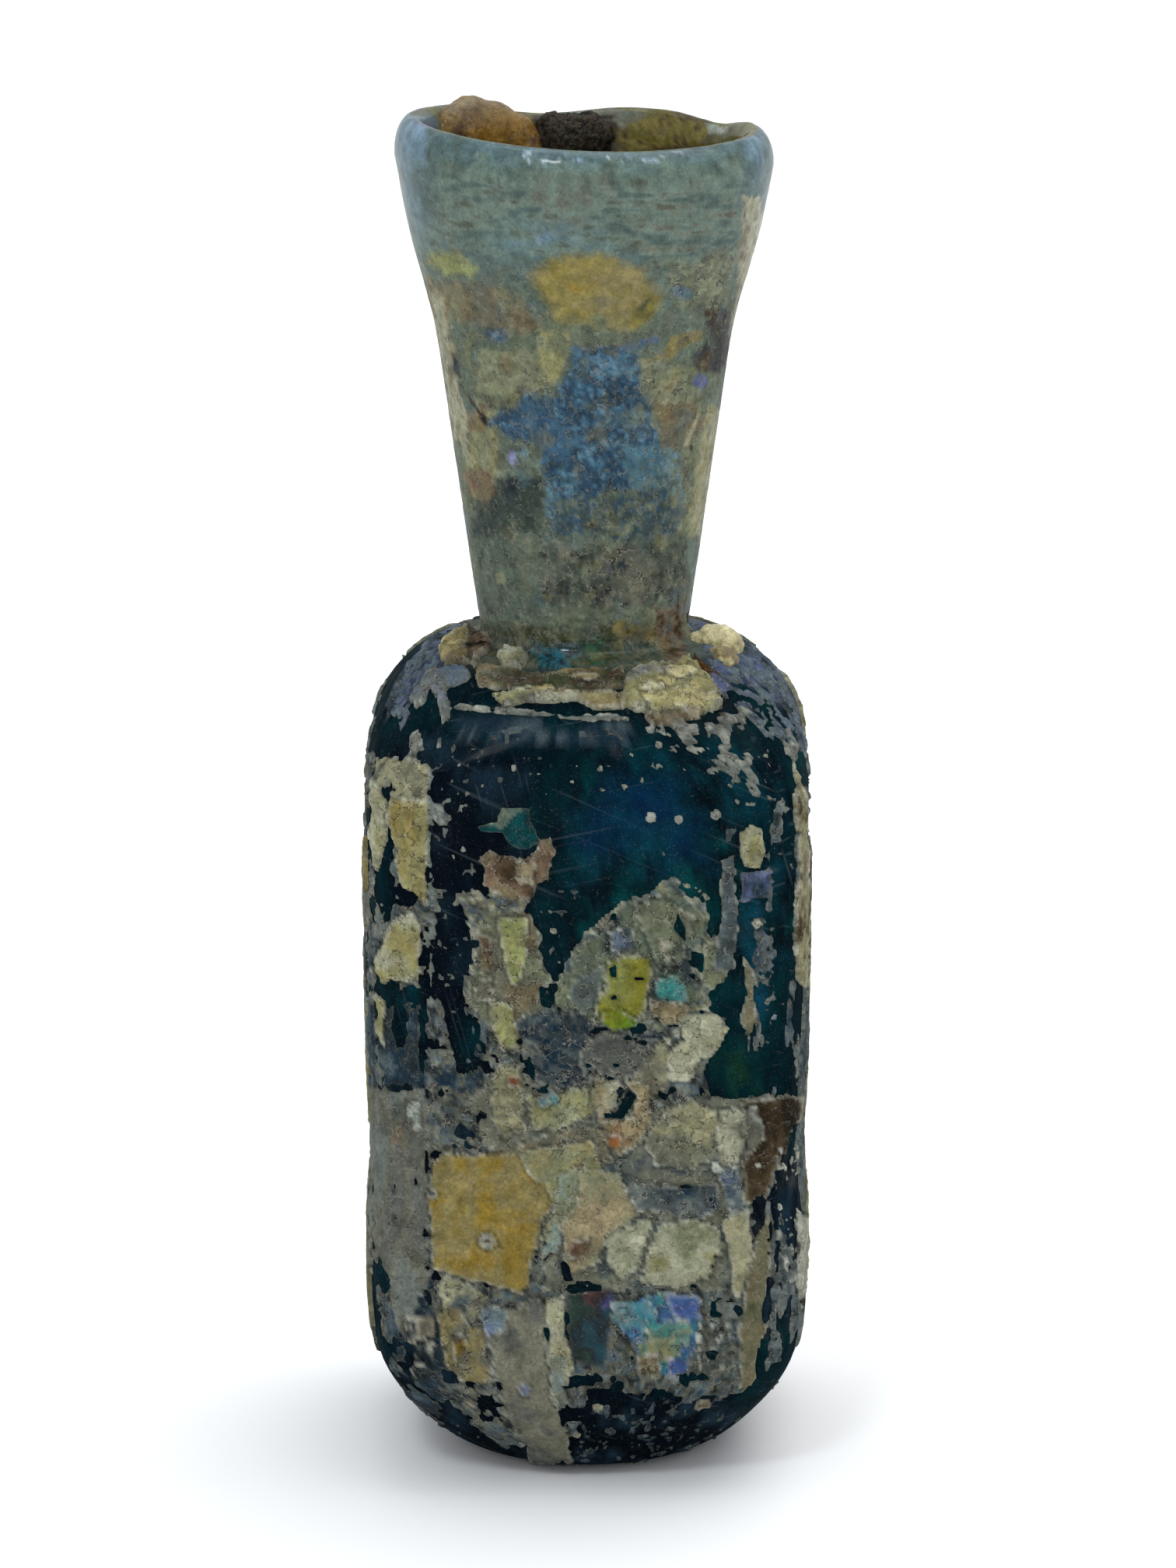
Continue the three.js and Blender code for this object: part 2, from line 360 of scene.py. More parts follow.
# Two or three colours along a share from 0 to 1
def blend(names, share):
    first, *rest = [colour(name) for name in names]
    if len(rest) < 2:
        return first * (1 - share) + rest[-1] * share
    return np.where(share < 0.5, first * (1 - 2 * share) + rest[0] * 2 * share,
                    rest[0] * (2 - 2 * share) + rest[1] * (2 * share - 1))


def startCanvas(piece, ground):
    places, ways = placesOf(piece), normalsOf(piece)
    across, down, toEye = toPhoto(places)
    count = len(places)
    canvas = {
        "places": places, "ways": ways, "across": across, "down": down,
        "facing": np.einsum("ij,ij->i", ways, toEye), "tint": np.tile(colour(ground), (count, 1)),
        "field": np.full(count, -brush["far"]), "rise": np.zeros(count), "gloss": np.zeros(count),
        "crackle": np.full(count, 0.8),
    }
    for name, (stretch, size, seed, octaves) in noises.items():
        canvas[name] = cloud(places * stretch, size, seed, octaves)
    return canvas


# Paints one stain or flake where depth, in pixels of the photograph, is above nothing; plan says how it looks
def paint(canvas, spots, depth, plan):
    plan = {**brush["usual"], **plan}
    fine = canvas["fine"][spots]
    if plan["cover"] < 1:
        noise = canvas[plan["noise"]][spots] + 0.35 * fine
        depth = np.minimum(depth, (noise + (plan["cover"] * 2 - 1) * 0.7) * brush["breakUp"])
    if plan["sort"] == "bare":
        canvas["field"][spots] = np.minimum(canvas["field"][spots], -depth)
        return
    share = np.clip(depth / plan["soft"], 0, 1) * plan["strength"]
    mixing = np.clip(0.5 + plan["mottle"] * canvas[plan["pattern"]][spots] + 0.3 * fine, 0, 1)[:, None]
    canvas["tint"][spots] += (blend(plan["colours"], mixing) - canvas["tint"][spots]) * share[:, None]
    if plan["sort"] == "crust":
        # A painted shadow just outside the flake's edge, then a pale line along the edge, partly the flake's
        # own and partly painted highlight
        place, width, strength = brush["shadow"]
        shade = strength * np.exp(-((depth - place) / width) ** 2) * plan["rim"]
        canvas["tint"][spots] *= 1 - shade[:, None]
        place, width = brush["paleRimAndHighlight"]
        rim = np.exp(-((depth - place) / width) ** 2) * np.clip(0.3 + fine, 0, 0.6) * plan["rim"]
        canvas["tint"][spots] += (colour("chalk") - canvas["tint"][spots]) * rim[:, None]
        canvas["field"][spots] = np.maximum(canvas["field"][spots], depth)
        climb = np.clip(depth / brush["climb"], 0, 1)
        rise = plan["rise"] * (1 + 0.35 * canvas["edge"][spots])
        canvas["rise"][spots] += (rise - canvas["rise"][spots]) * climb
    for name in ("gloss", "crackle"):
        if name in plan:
            canvas[name][spots] += (plan[name] - canvas[name][spots]) * share


# Lays a patch that the photograph shows, its edge made ragged by so many pixels
def layPatch(canvas, plan):
    ragged, outline = plan["ragged"], plan["outline"]
    margin = ragged * 2 + 8
    low, high = np.min(outline, axis=0) - margin, np.max(outline, axis=0) + margin
    near = canvas["allowed"] & (canvas["facing"] > photo["grazing"])
    near &= (canvas["across"] > low[0]) & (canvas["across"] < high[0])
    near &= (canvas["down"] > low[1]) & (canvas["down"] < high[1])
    spots = np.nonzero(near)[0]
    if len(spots):
        depth = depthInside(canvas["across"][spots], canvas["down"][spots], outline)
        stray = canvas["edge"][spots] * 1.1 + canvas["fine"][spots] * brush["fineRagged"]
        paint(canvas, spots, depth + ragged * stray, plan)


# Scatters flakes or stains by chance over the places given, for the sides that the photograph doesn't show
def scatter(canvas, spots, count, size, plans, seed):
    chance = np.random.default_rng(seed)
    often = np.array([plan["often"] for plan in plans], float)
    for kind in chance.choice(len(plans), count, p=often / often.sum()):
        middle = canvas["places"][chance.choice(spots)]
        across, tall = chance.uniform(*size, 2) * (1, chanceShape["tall"])
        near = spots[np.abs(canvas["places"][spots, 2] - middle[2]) < tall * 1.5]
        offset = (canvas["places"][near] - middle) / (across, across, tall)
        far = np.linalg.norm(offset, axis=1)
        for way in chance.normal(size=(chanceShape["cuts"], 3)):
            cut = offset @ (way / np.linalg.norm(way)) / chance.uniform(*chanceShape["cutDepth"])
            far = np.maximum(far, cut)
        depth = (1 - far) * min(across, tall) * photo["pixelsPerMm"]
        stray = canvas["edge"][near] * 1.1 + canvas["fine"][near] * 0.7
        depth += photo["pixelsPerMm"] * chanceShape["ragged"] * stray
        keep = (depth > -4) & (far < 2)
        paint(canvas, near[keep], depth[keep], plans[kind])


def putAttribute(piece, name, values):
    if values.ndim == 2:
        layer = piece.data.attributes.new(name, "FLOAT_COLOR", "POINT")
        full = np.ones((len(values), 4), np.float32)
        full[:, :3] = values
        layer.data.foreach_set("color", full.ravel())
    else:
        layer = piece.data.attributes.new(name, "FLOAT", "POINT")
        layer.data.foreach_set("value", values.astype(np.float32))


def putLooks(piece, canvas):
    for name in ("tint", "gloss", "crackle"):
        putAttribute(piece, name, canvas[name])


# A patch: outline in pixels of the photograph, colours, how ragged its edge is in pixels, how many mm it rises
def patch(at, tint, ragged, rise=0, **more):
    outline = [tuple(int(n) for n in spot.split(",")) for spot in at.split()]
    return {"outline": outline, "colours": tint.split(), "ragged": ragged, "rise": rise, **more}


# Points of an oval, in pixels
def ringOf(x, y, across, up):
    turns = np.arange(0, 6.28, 0.7)
    return " ".join(f"{round(x + across * math.cos(t))},{round(y + up * math.sin(t))}" for t in turns)


# Stains of the neck and lip, seen from the photograph's side
neckStains = [
    # upper neck
    patch("540,190 640,203 760,210 880,203 968,188 962,330 900,344 800,330 700,345 600,330 548,310",
          "lipDark lipGreen greyGreen", 14, soft=16, pattern="ripple", mottle=1.1),
    patch("640,275 740,262 800,300 800,330 700,340 620,330", "lipBlue lipGreen", 14, soft=18,
          pattern="ripple", strength=0.7),
    patch("690,212 786,210 792,250 770,285 700,290 684,250", "greyTan lipGreen greyTan", 12, soft=14,
          strength=0.8),
    patch("850,230 950,230 960,300 930,380 870,390 820,340 800,300", "lipDark lipGreen khakiGrey", 14,
          soft=18, pattern="ripple", mottle=1.2),
    patch("850,330 945,320 940,395 870,400", "khakiGrey khaki greyGreen", 10, soft=12, pattern="fine",
          mottle=1.3, crackle=1),
    patch("826,461 900,470 915,560 890,640 850,560 835,510", "paleGreen khaki greyTan", 12, soft=6),
    patch("860,560 900,570 900,690 860,700 840,650", "greyTan khaki smoke", 12, soft=10),
    patch("543,354 640,360 702,400 700,428 640,440 590,420 556,390", "greyTan tan khaki", 14, soft=12),
    patch("560,186 625,199 759,207 874,201 940,187 934,203 873,218 759,226 640,218 573,203",
          "lipBlue lipGreen", 4, soft=5, gloss=0.7),
    # Painted highlights: pale blue sparkles along the lip's front crest
    patch("610,193 745,203 900,194 900,203 745,212 610,202", "glint lipLavender glint", 3, soft=2,
          gloss=0.9, cover=0.3, noise="fine"),
    patch("951,248 980,250 983,290 972,354 955,400 941,440 932,430 945,360 954,300", "cream creamPale tan",
          6, soft=4),
    patch("955,258 960,260 961,285 956,290", "brownDark brown", 3, soft=3),
    patch("548,322 590,318 617,342 612,360 573,358 544,340", "straw yellowGreen khaki", 8, soft=8),
    patch("545,350 573,383 582,429 593,479 567,479 556,429", "creamPale cream tan", 6, soft=4),
    patch("675,349 702,328 744,320 787,325 829,344 856,376 843,413 808,434 776,429 739,418 713,418 691,397 "
          "675,370", "goldNeck goldPale goldNeck", 8, soft=16, pattern="broad", crackle=0),
    patch("725,360 765,362 770,385 735,390", "ochre goldDeep goldNeck", 12, soft=12),
    patch("810,380 843,376 845,404 815,425", "goldPale olive goldNeck", 9, soft=10),
    patch("755,400 776,402 780,424 760,420", "yellowGreen paleGreen", 5, soft=5),
    patch("619,419 650,420 660,436 641,444 623,436", "neckBlue blueGrey", 5),
    patch(ringOf(876, 376, 14, 11), "neckBlue blueGrey lipBlue", 5, soft=6),
    patch(ringOf(702, 306, 16, 8), "lipBlue lipLavender", 6, soft=8),
    patch("735,443 800,440 830,432 848,428 850,440 800,456 740,458", "neckBlue blueGrey neckBlue", 6,
          soft=5),
    patch("826,464 852,452 862,431 901,424 905,436 873,452 866,464 830,474", "goldPale ochre tan", 5,
          soft=4),
    patch("903,397 946,394 944,411 938,479 893,482 891,454 905,433 908,411", "brownDark greyDark brown", 8,
          mottle=1.6),
    patch(ringOf(908, 450, 7, 10), "amber brown brown", 6, soft=5, cover=0.6),
    patch(ringOf(900, 491, 14, 11), "violet periwinkle brownDark", 6, soft=4),
    # Painted highlights: bluish reflections at the lip's left and right ends
    patch("506,146 560,146 552,214 512,214", "lipLavender lipBlue", 8, soft=12, gloss=1),
    patch("948,164 990,166 992,214 955,212", "lipLavender lipBlue", 8, soft=12, gloss=1),
    # middle neck
    patch("605,445 640,445 684,449 690,480 684,504 644,513 637,538 609,538 609,491", "khaki khaki greyTan",
          8, mottle=0.9),
    patch("640,449 662,450 660,478 644,478", "pinkCream tan", 6, soft=6),
    patch("689,424 735,424 735,449 723,488 700,502 686,495 690,450", "yellowGreen straw paleGreen", 6),
    patch("588,525 640,530 648,580 645,617 605,617 590,570", "goldPale khaki straw", 8, soft=6),
    patch("590,530 622,520 626,556 600,560", "straw greyGold tan", 7, soft=5),
    patch("737,445 768,441 819,454 825,491 840,542 861,588 863,617 819,638 780,640 743,689 710,672 701,617 "
          "689,575 647,563 626,544 651,521 689,508 710,504 722,483", "slateDark slateBlue cyanBlue", 9,
          soft=6, pattern="crumb", mottle=0.45, gloss=0.3),
    patch("650,520 700,515 745,560 740,600 700,590 650,555", "slateBlue neckBlue slateDark", 9, soft=8,
          pattern="crumb", mottle=0.45, strength=0.7),
    patch("734,446 815,452 820,488 735,490", "blueGrey cyanBlue slateBlue", 9, soft=9, pattern="fine",
          strength=0.8, mottle=0.8),
    patch(ringOf(776, 455, 20, 6), "neckBlue lipLavender", 5, soft=5),
    patch("785,525 828,522 835,550 800,560", "cyanBlue paleGreen slateBlue", 8, soft=8, pattern="fine",
          mottle=1.0, strength=0.7),
    patch("800,560 880,575 890,645 815,640 790,600", "bluePale cyanBlue greyGreen", 10, soft=8,
          pattern="crumb", mottle=1.3, strength=0.6),
    patch("692,615 745,612 750,697 700,697", "slateBlue cyanBlue neckDark", 9, soft=8, pattern="crumb",
          mottle=1.0, strength=0.75),
    patch(ringOf(659, 588, 8, 11), "lavenderBright lavender", 5, soft=4),
    patch(ringOf(672, 582, 12, 9), "cyanBlue neckBlue", 5, soft=6, strength=0.6),
    patch("598,620 650,610 700,612 705,697 604,697", "neckDark neckDark smokeDark", 12, soft=10),
    patch("705,640 862,620 880,697 705,700", "neckDark slateBlue greyGreen", 12, soft=10, pattern="fine",
          mottle=1.7),
    patch("640,672 680,670 678,698 648,699", "greyTan khaki brown", 7, cover=0.6),
    patch(ringOf(760, 675, 17, 10), "olive neckBrown", 6, soft=8),
    patch("560,420 592,484 602,538 604,575 602,600 580,560 568,500", "cream creamPale tan", 7, soft=4),
    patch("578,450 584,452 600,500 630,545 626,548 596,508", "brown brownDark", 3, soft=3, cover=0.75),
    patch("596,606 634,600 640,634 623,645 601,634", "brown pinkBrown tan", 7, soft=5, mottle=1.6),
    patch("840,517 894,513 911,545 880,580 850,575", "pinkBrown tan greyTan", 8, mottle=1.6),
    patch("840,520 862,520 865,545 845,548", "brown greyGold tan", 7, soft=4, cover=0.6),
    patch("896,529 902,531 884,575 877,573", "creamPale cream", 2, soft=3),
    patch(ringOf(889, 576, 4, 6), "soilDark brownDark", 2, soft=2),
    patch("823,462 886,462 890,510 850,520 828,500", "khaki paleGreen cream", 8, soft=6, crackle=1),
    patch("908,520 932,527 922,570 914,649 905,693 885,690 890,620 898,570", "creamPale cream straw", 6,
          soft=4),
    patch("690,697 884,697 884,781 690,781", "neckBrown neckDark greyTan", 12, soft=10, pattern="streak",
          mottle=1.4, crackle=0.8),
    patch("700,720 790,706 812,720 790,770 700,770", "brownDark neckBrown smokeDark", 9, soft=5, cover=0.62,
          pattern="fine", mottle=1.5, crackle=1),
    patch("604,690 650,690 694,760 694,800 610,800 606,740", "neckDark greyGreen neckGreen", 10, soft=8,
          mottle=1.5),
    patch(ringOf(645, 745, 6, 11), "paleGreen khaki", 5, soft=3),
    patch(ringOf(684, 768, 7, 10), "paleGreen greyGreen", 5, soft=3),
    # neck foot
    patch("610,800 880,800 880,860 612,860", "neckDark neckBrown olive", 6, soft=8, pattern="fine",
          mottle=1.5),
    patch("680,838 700,828 750,826 756,850 730,860 700,862", "slateDark tealGlint bottleGreen", 10,
          pattern="fine", mottle=1.5, gloss=0.8, soft=7),
    patch("742,822 770,816 800,822 797,850 770,858 748,856", "emerald bottleGreen olive", 10,
          pattern="fine", mottle=1.5, gloss=0.8, soft=7),
    patch("794,803 842,800 850,822 815,832 794,828", "greyGold neckBrown ochre", 9, soft=9),
    patch("841,774 882,774 884,850 860,856 846,830", "greyTan pinkBrown brown", 8, soft=8, mottle=1.5,
          pattern="fine"),
    patch("602,806 634,812 634,841 609,845 598,827", "brown pinkBrown brownDark", 7, soft=4, mottle=1.6),
]

# Inside of the mouth, as far as the photograph looks in
mouthStains = [
    patch("540,120 980,120 980,215 540,215", "brown oliveGlass greyGreen", 1, soft=1, pattern="broad"),
    patch("700,140 760,138 816,141 837,147 823,159 801,163 787,165 770,154 715,150",
          "lipGreen greyTan khakiGrey", 5, gloss=0.8),
    # A painted highlight: a small white sparkle inside the mouth
    patch(ringOf(792, 160, 7, 3), "bright chalk", 2, gloss=0.8),
    patch("794,167 823,156 859,145 873,147 909,161 909,179 873,188 812,194 791,183",
          "brown goldNeck oliveGlass", 6, pattern="fine", mottle=1.3, gloss=0.6),
    patch("909,158 938,164 934,174 909,172", "chalk lipGreen", 5),
    patch("937,163 957,165 955,178 935,176", "brown rust", 5, cover=0.6),
    patch("684,148 790,148 790,194 684,194", "soilDark soil", 6),
    patch("515,150 562,150 562,176 519,172", "lavender blueGrey lipBlue", 5),
]

# Crust, flakes and bare places of the body and the neck's foot
bodyCrusts = [
    # thin grey crust between and under the flakes
    patch("545,1290 700,1300 760,1330 860,1300 960,1310 975,1420 965,1560 985,1700 960,1790 900,1800 "
          "760,1790 735,1850 640,1860 560,1790 545,1640", "smokeDark greyTan haze", 16, 0.05, cover=0.74,
          mottle=1.6, pattern="fine", rim=0.4),
    patch("472,970 560,975 560,1790 500,1760 475,1600", "smokeDark haze greyTan", 12, 0.05, cover=0.55,
          mottle=1.6, pattern="fine", rim=0.5),
    patch("975,1060 1045,1000 1045,1720 985,1760 965,1500", "smokeDark haze smoke", 12, 0.05, cover=0.5,
          noise="streak", pattern="fine", rim=0.4, mottle=1.6),
    patch("640,1370 700,1400 760,1440 960,1400 985,1460 965,1560 930,1660 700,1660 690,1500 625,1480 "
          "600,1420", "greyTan khakiGrey smoke", 14, 0.07, cover=0.9, mottle=1.6, rim=0.5),
    patch("585,1150 700,1140 730,1230 710,1330 620,1320 580,1260", "haze greyTan cream", 12, 0.05,
          cover=0.66, pattern="fine"),
    patch("715,1240 790,1165 870,1125 912,1150 915,1290 870,1330 730,1320", "haze greyGreen cream", 10,
          0.05, cover=0.75, pattern="fine"),
    patch("563,1200 598,1200 594,1299 586,1370 578,1330 563,1271", "navy", 7, sort="bare"),
    patch("578,1291 626,1319 622,1366 606,1394 586,1366", "navy", 7, sort="bare"),
    patch("696,1190 726,1215 722,1290 700,1290", "navy", 6, sort="bare"),
    patch("918,1280 952,1280 962,1358 986,1345 988,1405 946,1415 914,1410 904,1380 935,1310", "navy", 9,
          sort="bare"),
    patch("992,1080 1020,1080 1020,1400 994,1400", "navy", 8, sort="bare"),
    patch("505,1280 545,1272 545,1385 507,1385 501,1303", "navy", 15, sort="bare"),
    # fine pale dust on the bare glass
    patch("475,1290 625,1290 625,1400 475,1400", "smokeDark slate haze", 12, 0.01, cover=0.5,
          noise="streak", rim=0, crackle=0.3),
    patch("488,1660 562,1650 574,1760 566,1835 520,1810 498,1750", "smokeDark slate haze", 12, 0.02,
          cover=0.62, noise="streak", rim=0, crackle=0.3),
    patch("556,985 605,985 612,1100 600,1310 556,1310", "haze smoke smokeLight", 7, 0.02, cover=0.26,
          noise="fine", rim=0.2, crackle=0.3),
    patch("560,950 690,940 700,985 640,1010 570,1000", "haze slate smoke", 9, 0.02, cover=0.24,
          noise="fine", rim=0.2, crackle=0.3),
    patch("830,940 1000,930 1035,1010 1030,1120 985,1080 900,1000 835,985", "haze smoke smokeLight", 12,
          0.03, cover=0.36, noise="edge", rim=0.4, crackle=0.8),
    patch("690,1150 740,1140 745,1260 700,1290", "haze slate smoke", 7, 0.02, cover=0.2, noise="fine",
          rim=0.2, crackle=0.3),
    patch("900,1080 950,1060 952,1290 905,1290", "haze slate smoke", 7, 0.02, cover=0.3, noise="streak",
          rim=0.2, crackle=0.3),
    patch("985,1080 1040,1080 1040,1400 990,1400", "haze slate smoke", 7, 0.02, cover=0.34, noise="streak",
          rim=0.2, crackle=0.3),
    patch("880,785 940,792 1000,832 1036,900 1038,965 985,950 925,880", "haze blueGrey slate", 10, 0.02,
          cover=0.62, noise="fine", rim=0.2, crackle=0.6),
    patch("498,905 522,852 566,800 600,790 590,830 552,872 528,905 515,950", "haze blueGrey slate", 9, 0.02,
          cover=0.62, noise="fine", rim=0.2, crackle=0.6),
    # a clear glassy wedge and the rainbow film low on the front
    patch("610,1061 638,1057 646,1039 681,1037 685,1057 697,1084 677,1096 654,1088 646,1073 618,1071",
          "tealDark tealBright teal", 3, 0.02, gloss=0.1, rim=0.1, crackle=0.15),
    patch("610,1061 638,1057 646,1039 681,1037 660,1050 645,1066", "seaGreen greyGreen", 3, 0.03, gloss=0.4,
          rim=0.2, crackle=0.3),
    patch("729,1661 784,1657 788,1680 780,1728 776,1756 737,1752 729,1708", "bottleGreen navy teal", 4,
          0.03, mottle=1.5, gloss=1, rim=0.1, crackle=0.1),
    patch("745,1658 788,1656 789,1684 750,1680", "maroon navy violet", 6, 0.04, gloss=1, rim=0.1,
          crackle=0.2),
    # on the shoulder and round the neck's foot
    patch("606,846 640,858 694,863 800,856 812,880 751,902 701,895 660,889 615,880", "brown olive greyGold",
          6, 0.1, mottle=1.5, gloss=0.7),
    patch("622,868 680,868 760,870 790,876 740,884 660,880", "brownDark brown olive", 8, 0.08, mottle=1.8,
          gloss=0.8, rim=0.3),
    # Painted highlights: two small golden glints on the collar round the neck's foot
    patch(ringOf(698, 886, 15, 4), "goldDeep creamGold", 3, 0.1, gloss=0.8),
    patch(ringOf(752, 871, 18, 4), "goldDeep greyGold", 3, 0.1, gloss=0.8),
    patch("564,840 570,826 588,812 604,808 610,822 600,848 566,853", "goldPale creamGold greyGold", 8, 0.4,
          mottle=1.6),
    patch("600,806 628,812 634,836 612,848 598,840", "brown pinkBrown brownDark", 5, 0.3, mottle=1.6),
    patch("637,841 650,832 668,834 680,845 673,859 650,862", "chalk cream greyTan", 3, 0.35),
    patch("628,890 687,884 692,898 648,908", "creamPale straw greyTan", 4, 0.16),
    patch("690,893 760,889 815,888 818,908 766,913 740,900 695,903", "straw greyGold creamPale", 4, 0.16,
          mottle=1.5),
    patch("796,900 806,868 830,856 865,856 884,846 898,856 915,880 928,909 894,920 846,929 826,913 800,909",
          "creamGold straw creamPale", 5, 0.45, mottle=1.5),
    patch("800,872 832,862 880,870 880,876 830,874 806,884", "pinkCream greyTan lavender", 5, 0.5,
          cover=0.7),
    patch("822,898 880,888 925,905 900,914 840,918", "goldPale creamGold straw", 5, 0.5, cover=0.8),
    # Painted highlights: bright spots in the middle of the cream-gold flake
    patch(ringOf(872, 871, 20, 8), "whiteGold creamGold", 5, 0.56),
    patch(ringOf(836, 889, 18, 6), "creamPale whiteGold", 5, 0.52, cover=0.7),
    patch("828,920 860,922 900,914 900,922 860,932 840,934", "rust pinkCream maroon", 4, 0.2),
    patch("925,915 960,918 958,938 930,932", "pinkBrown smoke maroon", 7, 0.06, cover=0.6),
    patch("600,858 575,858 548,862 541,878 526,896 534,910 548,902 552,884 560,900 568,928 578,926 580,905 "
          "572,884 598,876 606,868", "lavender smokeLight blueGrey", 4, 0.2, mottle=1.4),
    # A painted shadow: dark brown under the shoulder lump's lower left, where it meets the shoulder
    patch("900,846 893,835 888,850 898,868 916,874 926,866 914,856", "brownDark amberDark soilDark", 3,
          0.04, rim=0),
    # A pale streaky band along the shoulder's front edge: partly haze on the glass, partly a painted highlight
    # where the shoulder turns down
    patch("578,903 618,906 685,912 741,919 792,916 822,926 790,926 741,926 677,920 630,914 582,911",
          "haze smokeLight flatGrey", 4, 0.07, cover=0.8, noise="streak"),
    patch("600,925 700,932 800,934 800,950 690,950 600,938", "haze slate", 5, 0.03, cover=0.42,
          noise="ripple", rim=0, crackle=0.1),
    patch("915,868 960,872 995,880 990,892 940,888 915,884", "violet slate periwinkle", 7, 0.03, cover=0.6,
          rim=0.3),
    patch("831,934 914,930 966,910 1025,946 1021,990 954,978 895,978 839,962", "paleBlue smoke grey", 9,
          0.06, cover=0.42, noise="edge"),
    patch("535,930 543,962 527,970 525,938", "smokeLight grey", 5, 0.05, cover=0.6),
    # left flank
    patch("483,970 511,974 551,982 559,1001 555,1033 511,1033 491,1017 480,1001", "flatGrey cream grey", 8,
          0.09, cover=0.75),
    patch("478,1001 499,1033 499,1080 483,1128 474,1080", "straw creamPale", 5, 0.09),
    patch("503,1029 551,1029 553,1080 549,1160 515,1144 511,1092 499,1065", "ochre straw goldPale", 7, 0.08,
          pattern="streak"),
    patch("555,1033 578,1049 570,1104 559,1136", "haze smoke", 6, 0.04, cover=0.6),
    patch("507,1183 531,1175 541,1199 539,1259 503,1261 491,1271 480,1247 491,1215",
          "ochre straw creamPale", 6, 0.09),
    patch("480,1279 499,1283 495,1350 483,1330", "straw khaki", 5, 0.08),
    patch("549,985 556,985 558,1180 557,1300 551,1300 551,1180", "paleBlue smokeLight haze", 4, 0.04,
          cover=0.75, noise="fine", rim=0.2),
    patch("472,1400 549,1400 549,1500 549,1650 520,1720 478,1600", "grey greyTan smokeLight", 9, 0.05,
          cover=0.93, noise="streak", mottle=1.5, pattern="streak", rim=0.3, crackle=0.5),
    patch("490,1418 525,1418 528,1480 500,1475", "pinkBrown greyTan smoke", 9, 0.06, pattern="streak",
          rim=0.2),
    patch("523,1414 539,1420 539,1453 525,1450", "chalk paleBlue", 6, 0.06, cover=0.5),
    patch("519,1692 559,1692 559,1771 530,1771", "grey tan flatGrey", 8, 0.07, cover=0.6),
    patch(ringOf(588, 1104, 16, 15), "haze smokeLight", 5, 0.04, cover=0.3, noise="fine"),
    patch(ringOf(596, 1169, 17, 17), "haze smokeLight", 5, 0.04, cover=0.3, noise="fine"),
    # upper front
    patch("616,1107 628,1095 652,1097 670,1104 688,1095 694,1080 706,1080 715,1098 706,1128 691,1140 "
          "691,1161 658,1155 640,1146 619,1140 622,1122", "brown pinkBrown tan", 8, 0.09, mottle=1.6),
    patch("660,1105 690,1108 684,1140 662,1130", "tan pinkCream", 6, 0.11, cover=0.7),
    patch("622,1173 658,1167 688,1170 697,1206 694,1242 706,1254 694,1296 700,1320 672,1326 669,1350 "
          "646,1354 634,1320 604,1290 604,1260 613,1218", "tan greyTan paleGreen", 10, 0.1, mottle=1.4),
    patch("612,1200 632,1205 638,1240 620,1248", "pinkBrown brown tan", 7, 0.1),
    patch("612,1262 630,1255 634,1285 612,1285", "brown greyTan", 6, 0.08, cover=0.7),
    patch("640,1180 680,1178 678,1220 668,1262 658,1268 650,1240", "straw yellowGreen straw", 4, 0.14),
    patch("630,1285 660,1290 668,1345 646,1350 634,1322", "yellowGreen straw paleGreen", 5, 0.12),
    patch("725,1249 741,1223 776,1191 788,1175 812,1152 835,1150 850,1152 865,1138 880,1150 900,1170 "
          "905,1200 895,1225 900,1290 756,1311 733,1315 713,1295", "smokeDark greyGreen paleGreen", 14,
          0.12, mottle=1.6),
    patch("780,1196 812,1190 815,1222 785,1228", "blueGrey smokeDark smoke", 8, 0.1, mottle=1.5),
    patch("815,1160 860,1156 890,1180 880,1240 845,1246 830,1200", "greyGreen paleGreen khakiGrey", 9, 0.14,
          mottle=1.5),
    patch("733,1262 775,1240 770,1300 735,1306", "paleGreen smoke greyGreen", 8, 0.13, mottle=1.4),
    patch("905,1215 925,1203 938,1225 935,1262 915,1278 900,1262", "khaki paleGreen straw", 6, 0.12),
    patch("859,1156 871,1175 867,1195 883,1215 879,1191 867,1168", "brownDark", 2, sort="bare"),
    patch("847,1208 875,1212 875,1247 850,1244", "pink tan greyGreen", 5, 0.1, cover=0.6),
    patch("782,1240 804,1230 835,1232 838,1262 830,1300 812,1319 766,1300 768,1280 782,1266",
          "lime lime yellowGreen", 7, 0.14, mottle=1.3, pattern="broad", crackle=0.3),
    patch("772,1300 796,1296 824,1312 820,1323 784,1325 776,1315", "leaf lime", 5, 0.13),
    patch("784,1245 791,1243 792,1256 786,1257", "brownDark", 2, sort="bare"),
    patch("815,1257 828,1256 829,1260 816,1262", "brownDark", 1, sort="bare"),
    patch("784,1281 794,1280 795,1285 785,1286", "brownDark", 1, sort="bare"),
    patch("843,1259 867,1251 883,1267 883,1287 859,1291 839,1279", "seaGreen turquoise paleBlue", 6, 0.1,
          mottle=1.5),
    patch("835,1283 887,1291 883,1323 851,1319 835,1303", "pinkCream tan khaki", 6, 0.1),
    patch("949,1072 966,1059 982,1066 986,1092 978,1118 956,1116 950,1096", "creamPale straw cream", 3,
          0.14),
    patch("922,1108 946,1096 950,1160 946,1249 914,1249 926,1175", "haze smoke smokeDark", 6, 0.05,
          cover=0.7, noise="streak"),
    patch("950,1120 994,1120 992,1156 950,1162", "slate periwinkle blueGrey", 5, 0.04, rim=0.3,
          crackle=0.3),
    patch("950,1164 994,1156 1001,1200 1001,1299 982,1342 970,1303 958,1247", "blueTeal slate blueGrey", 9,
          0.03, cover=0.42, noise="streak", rim=0.3),
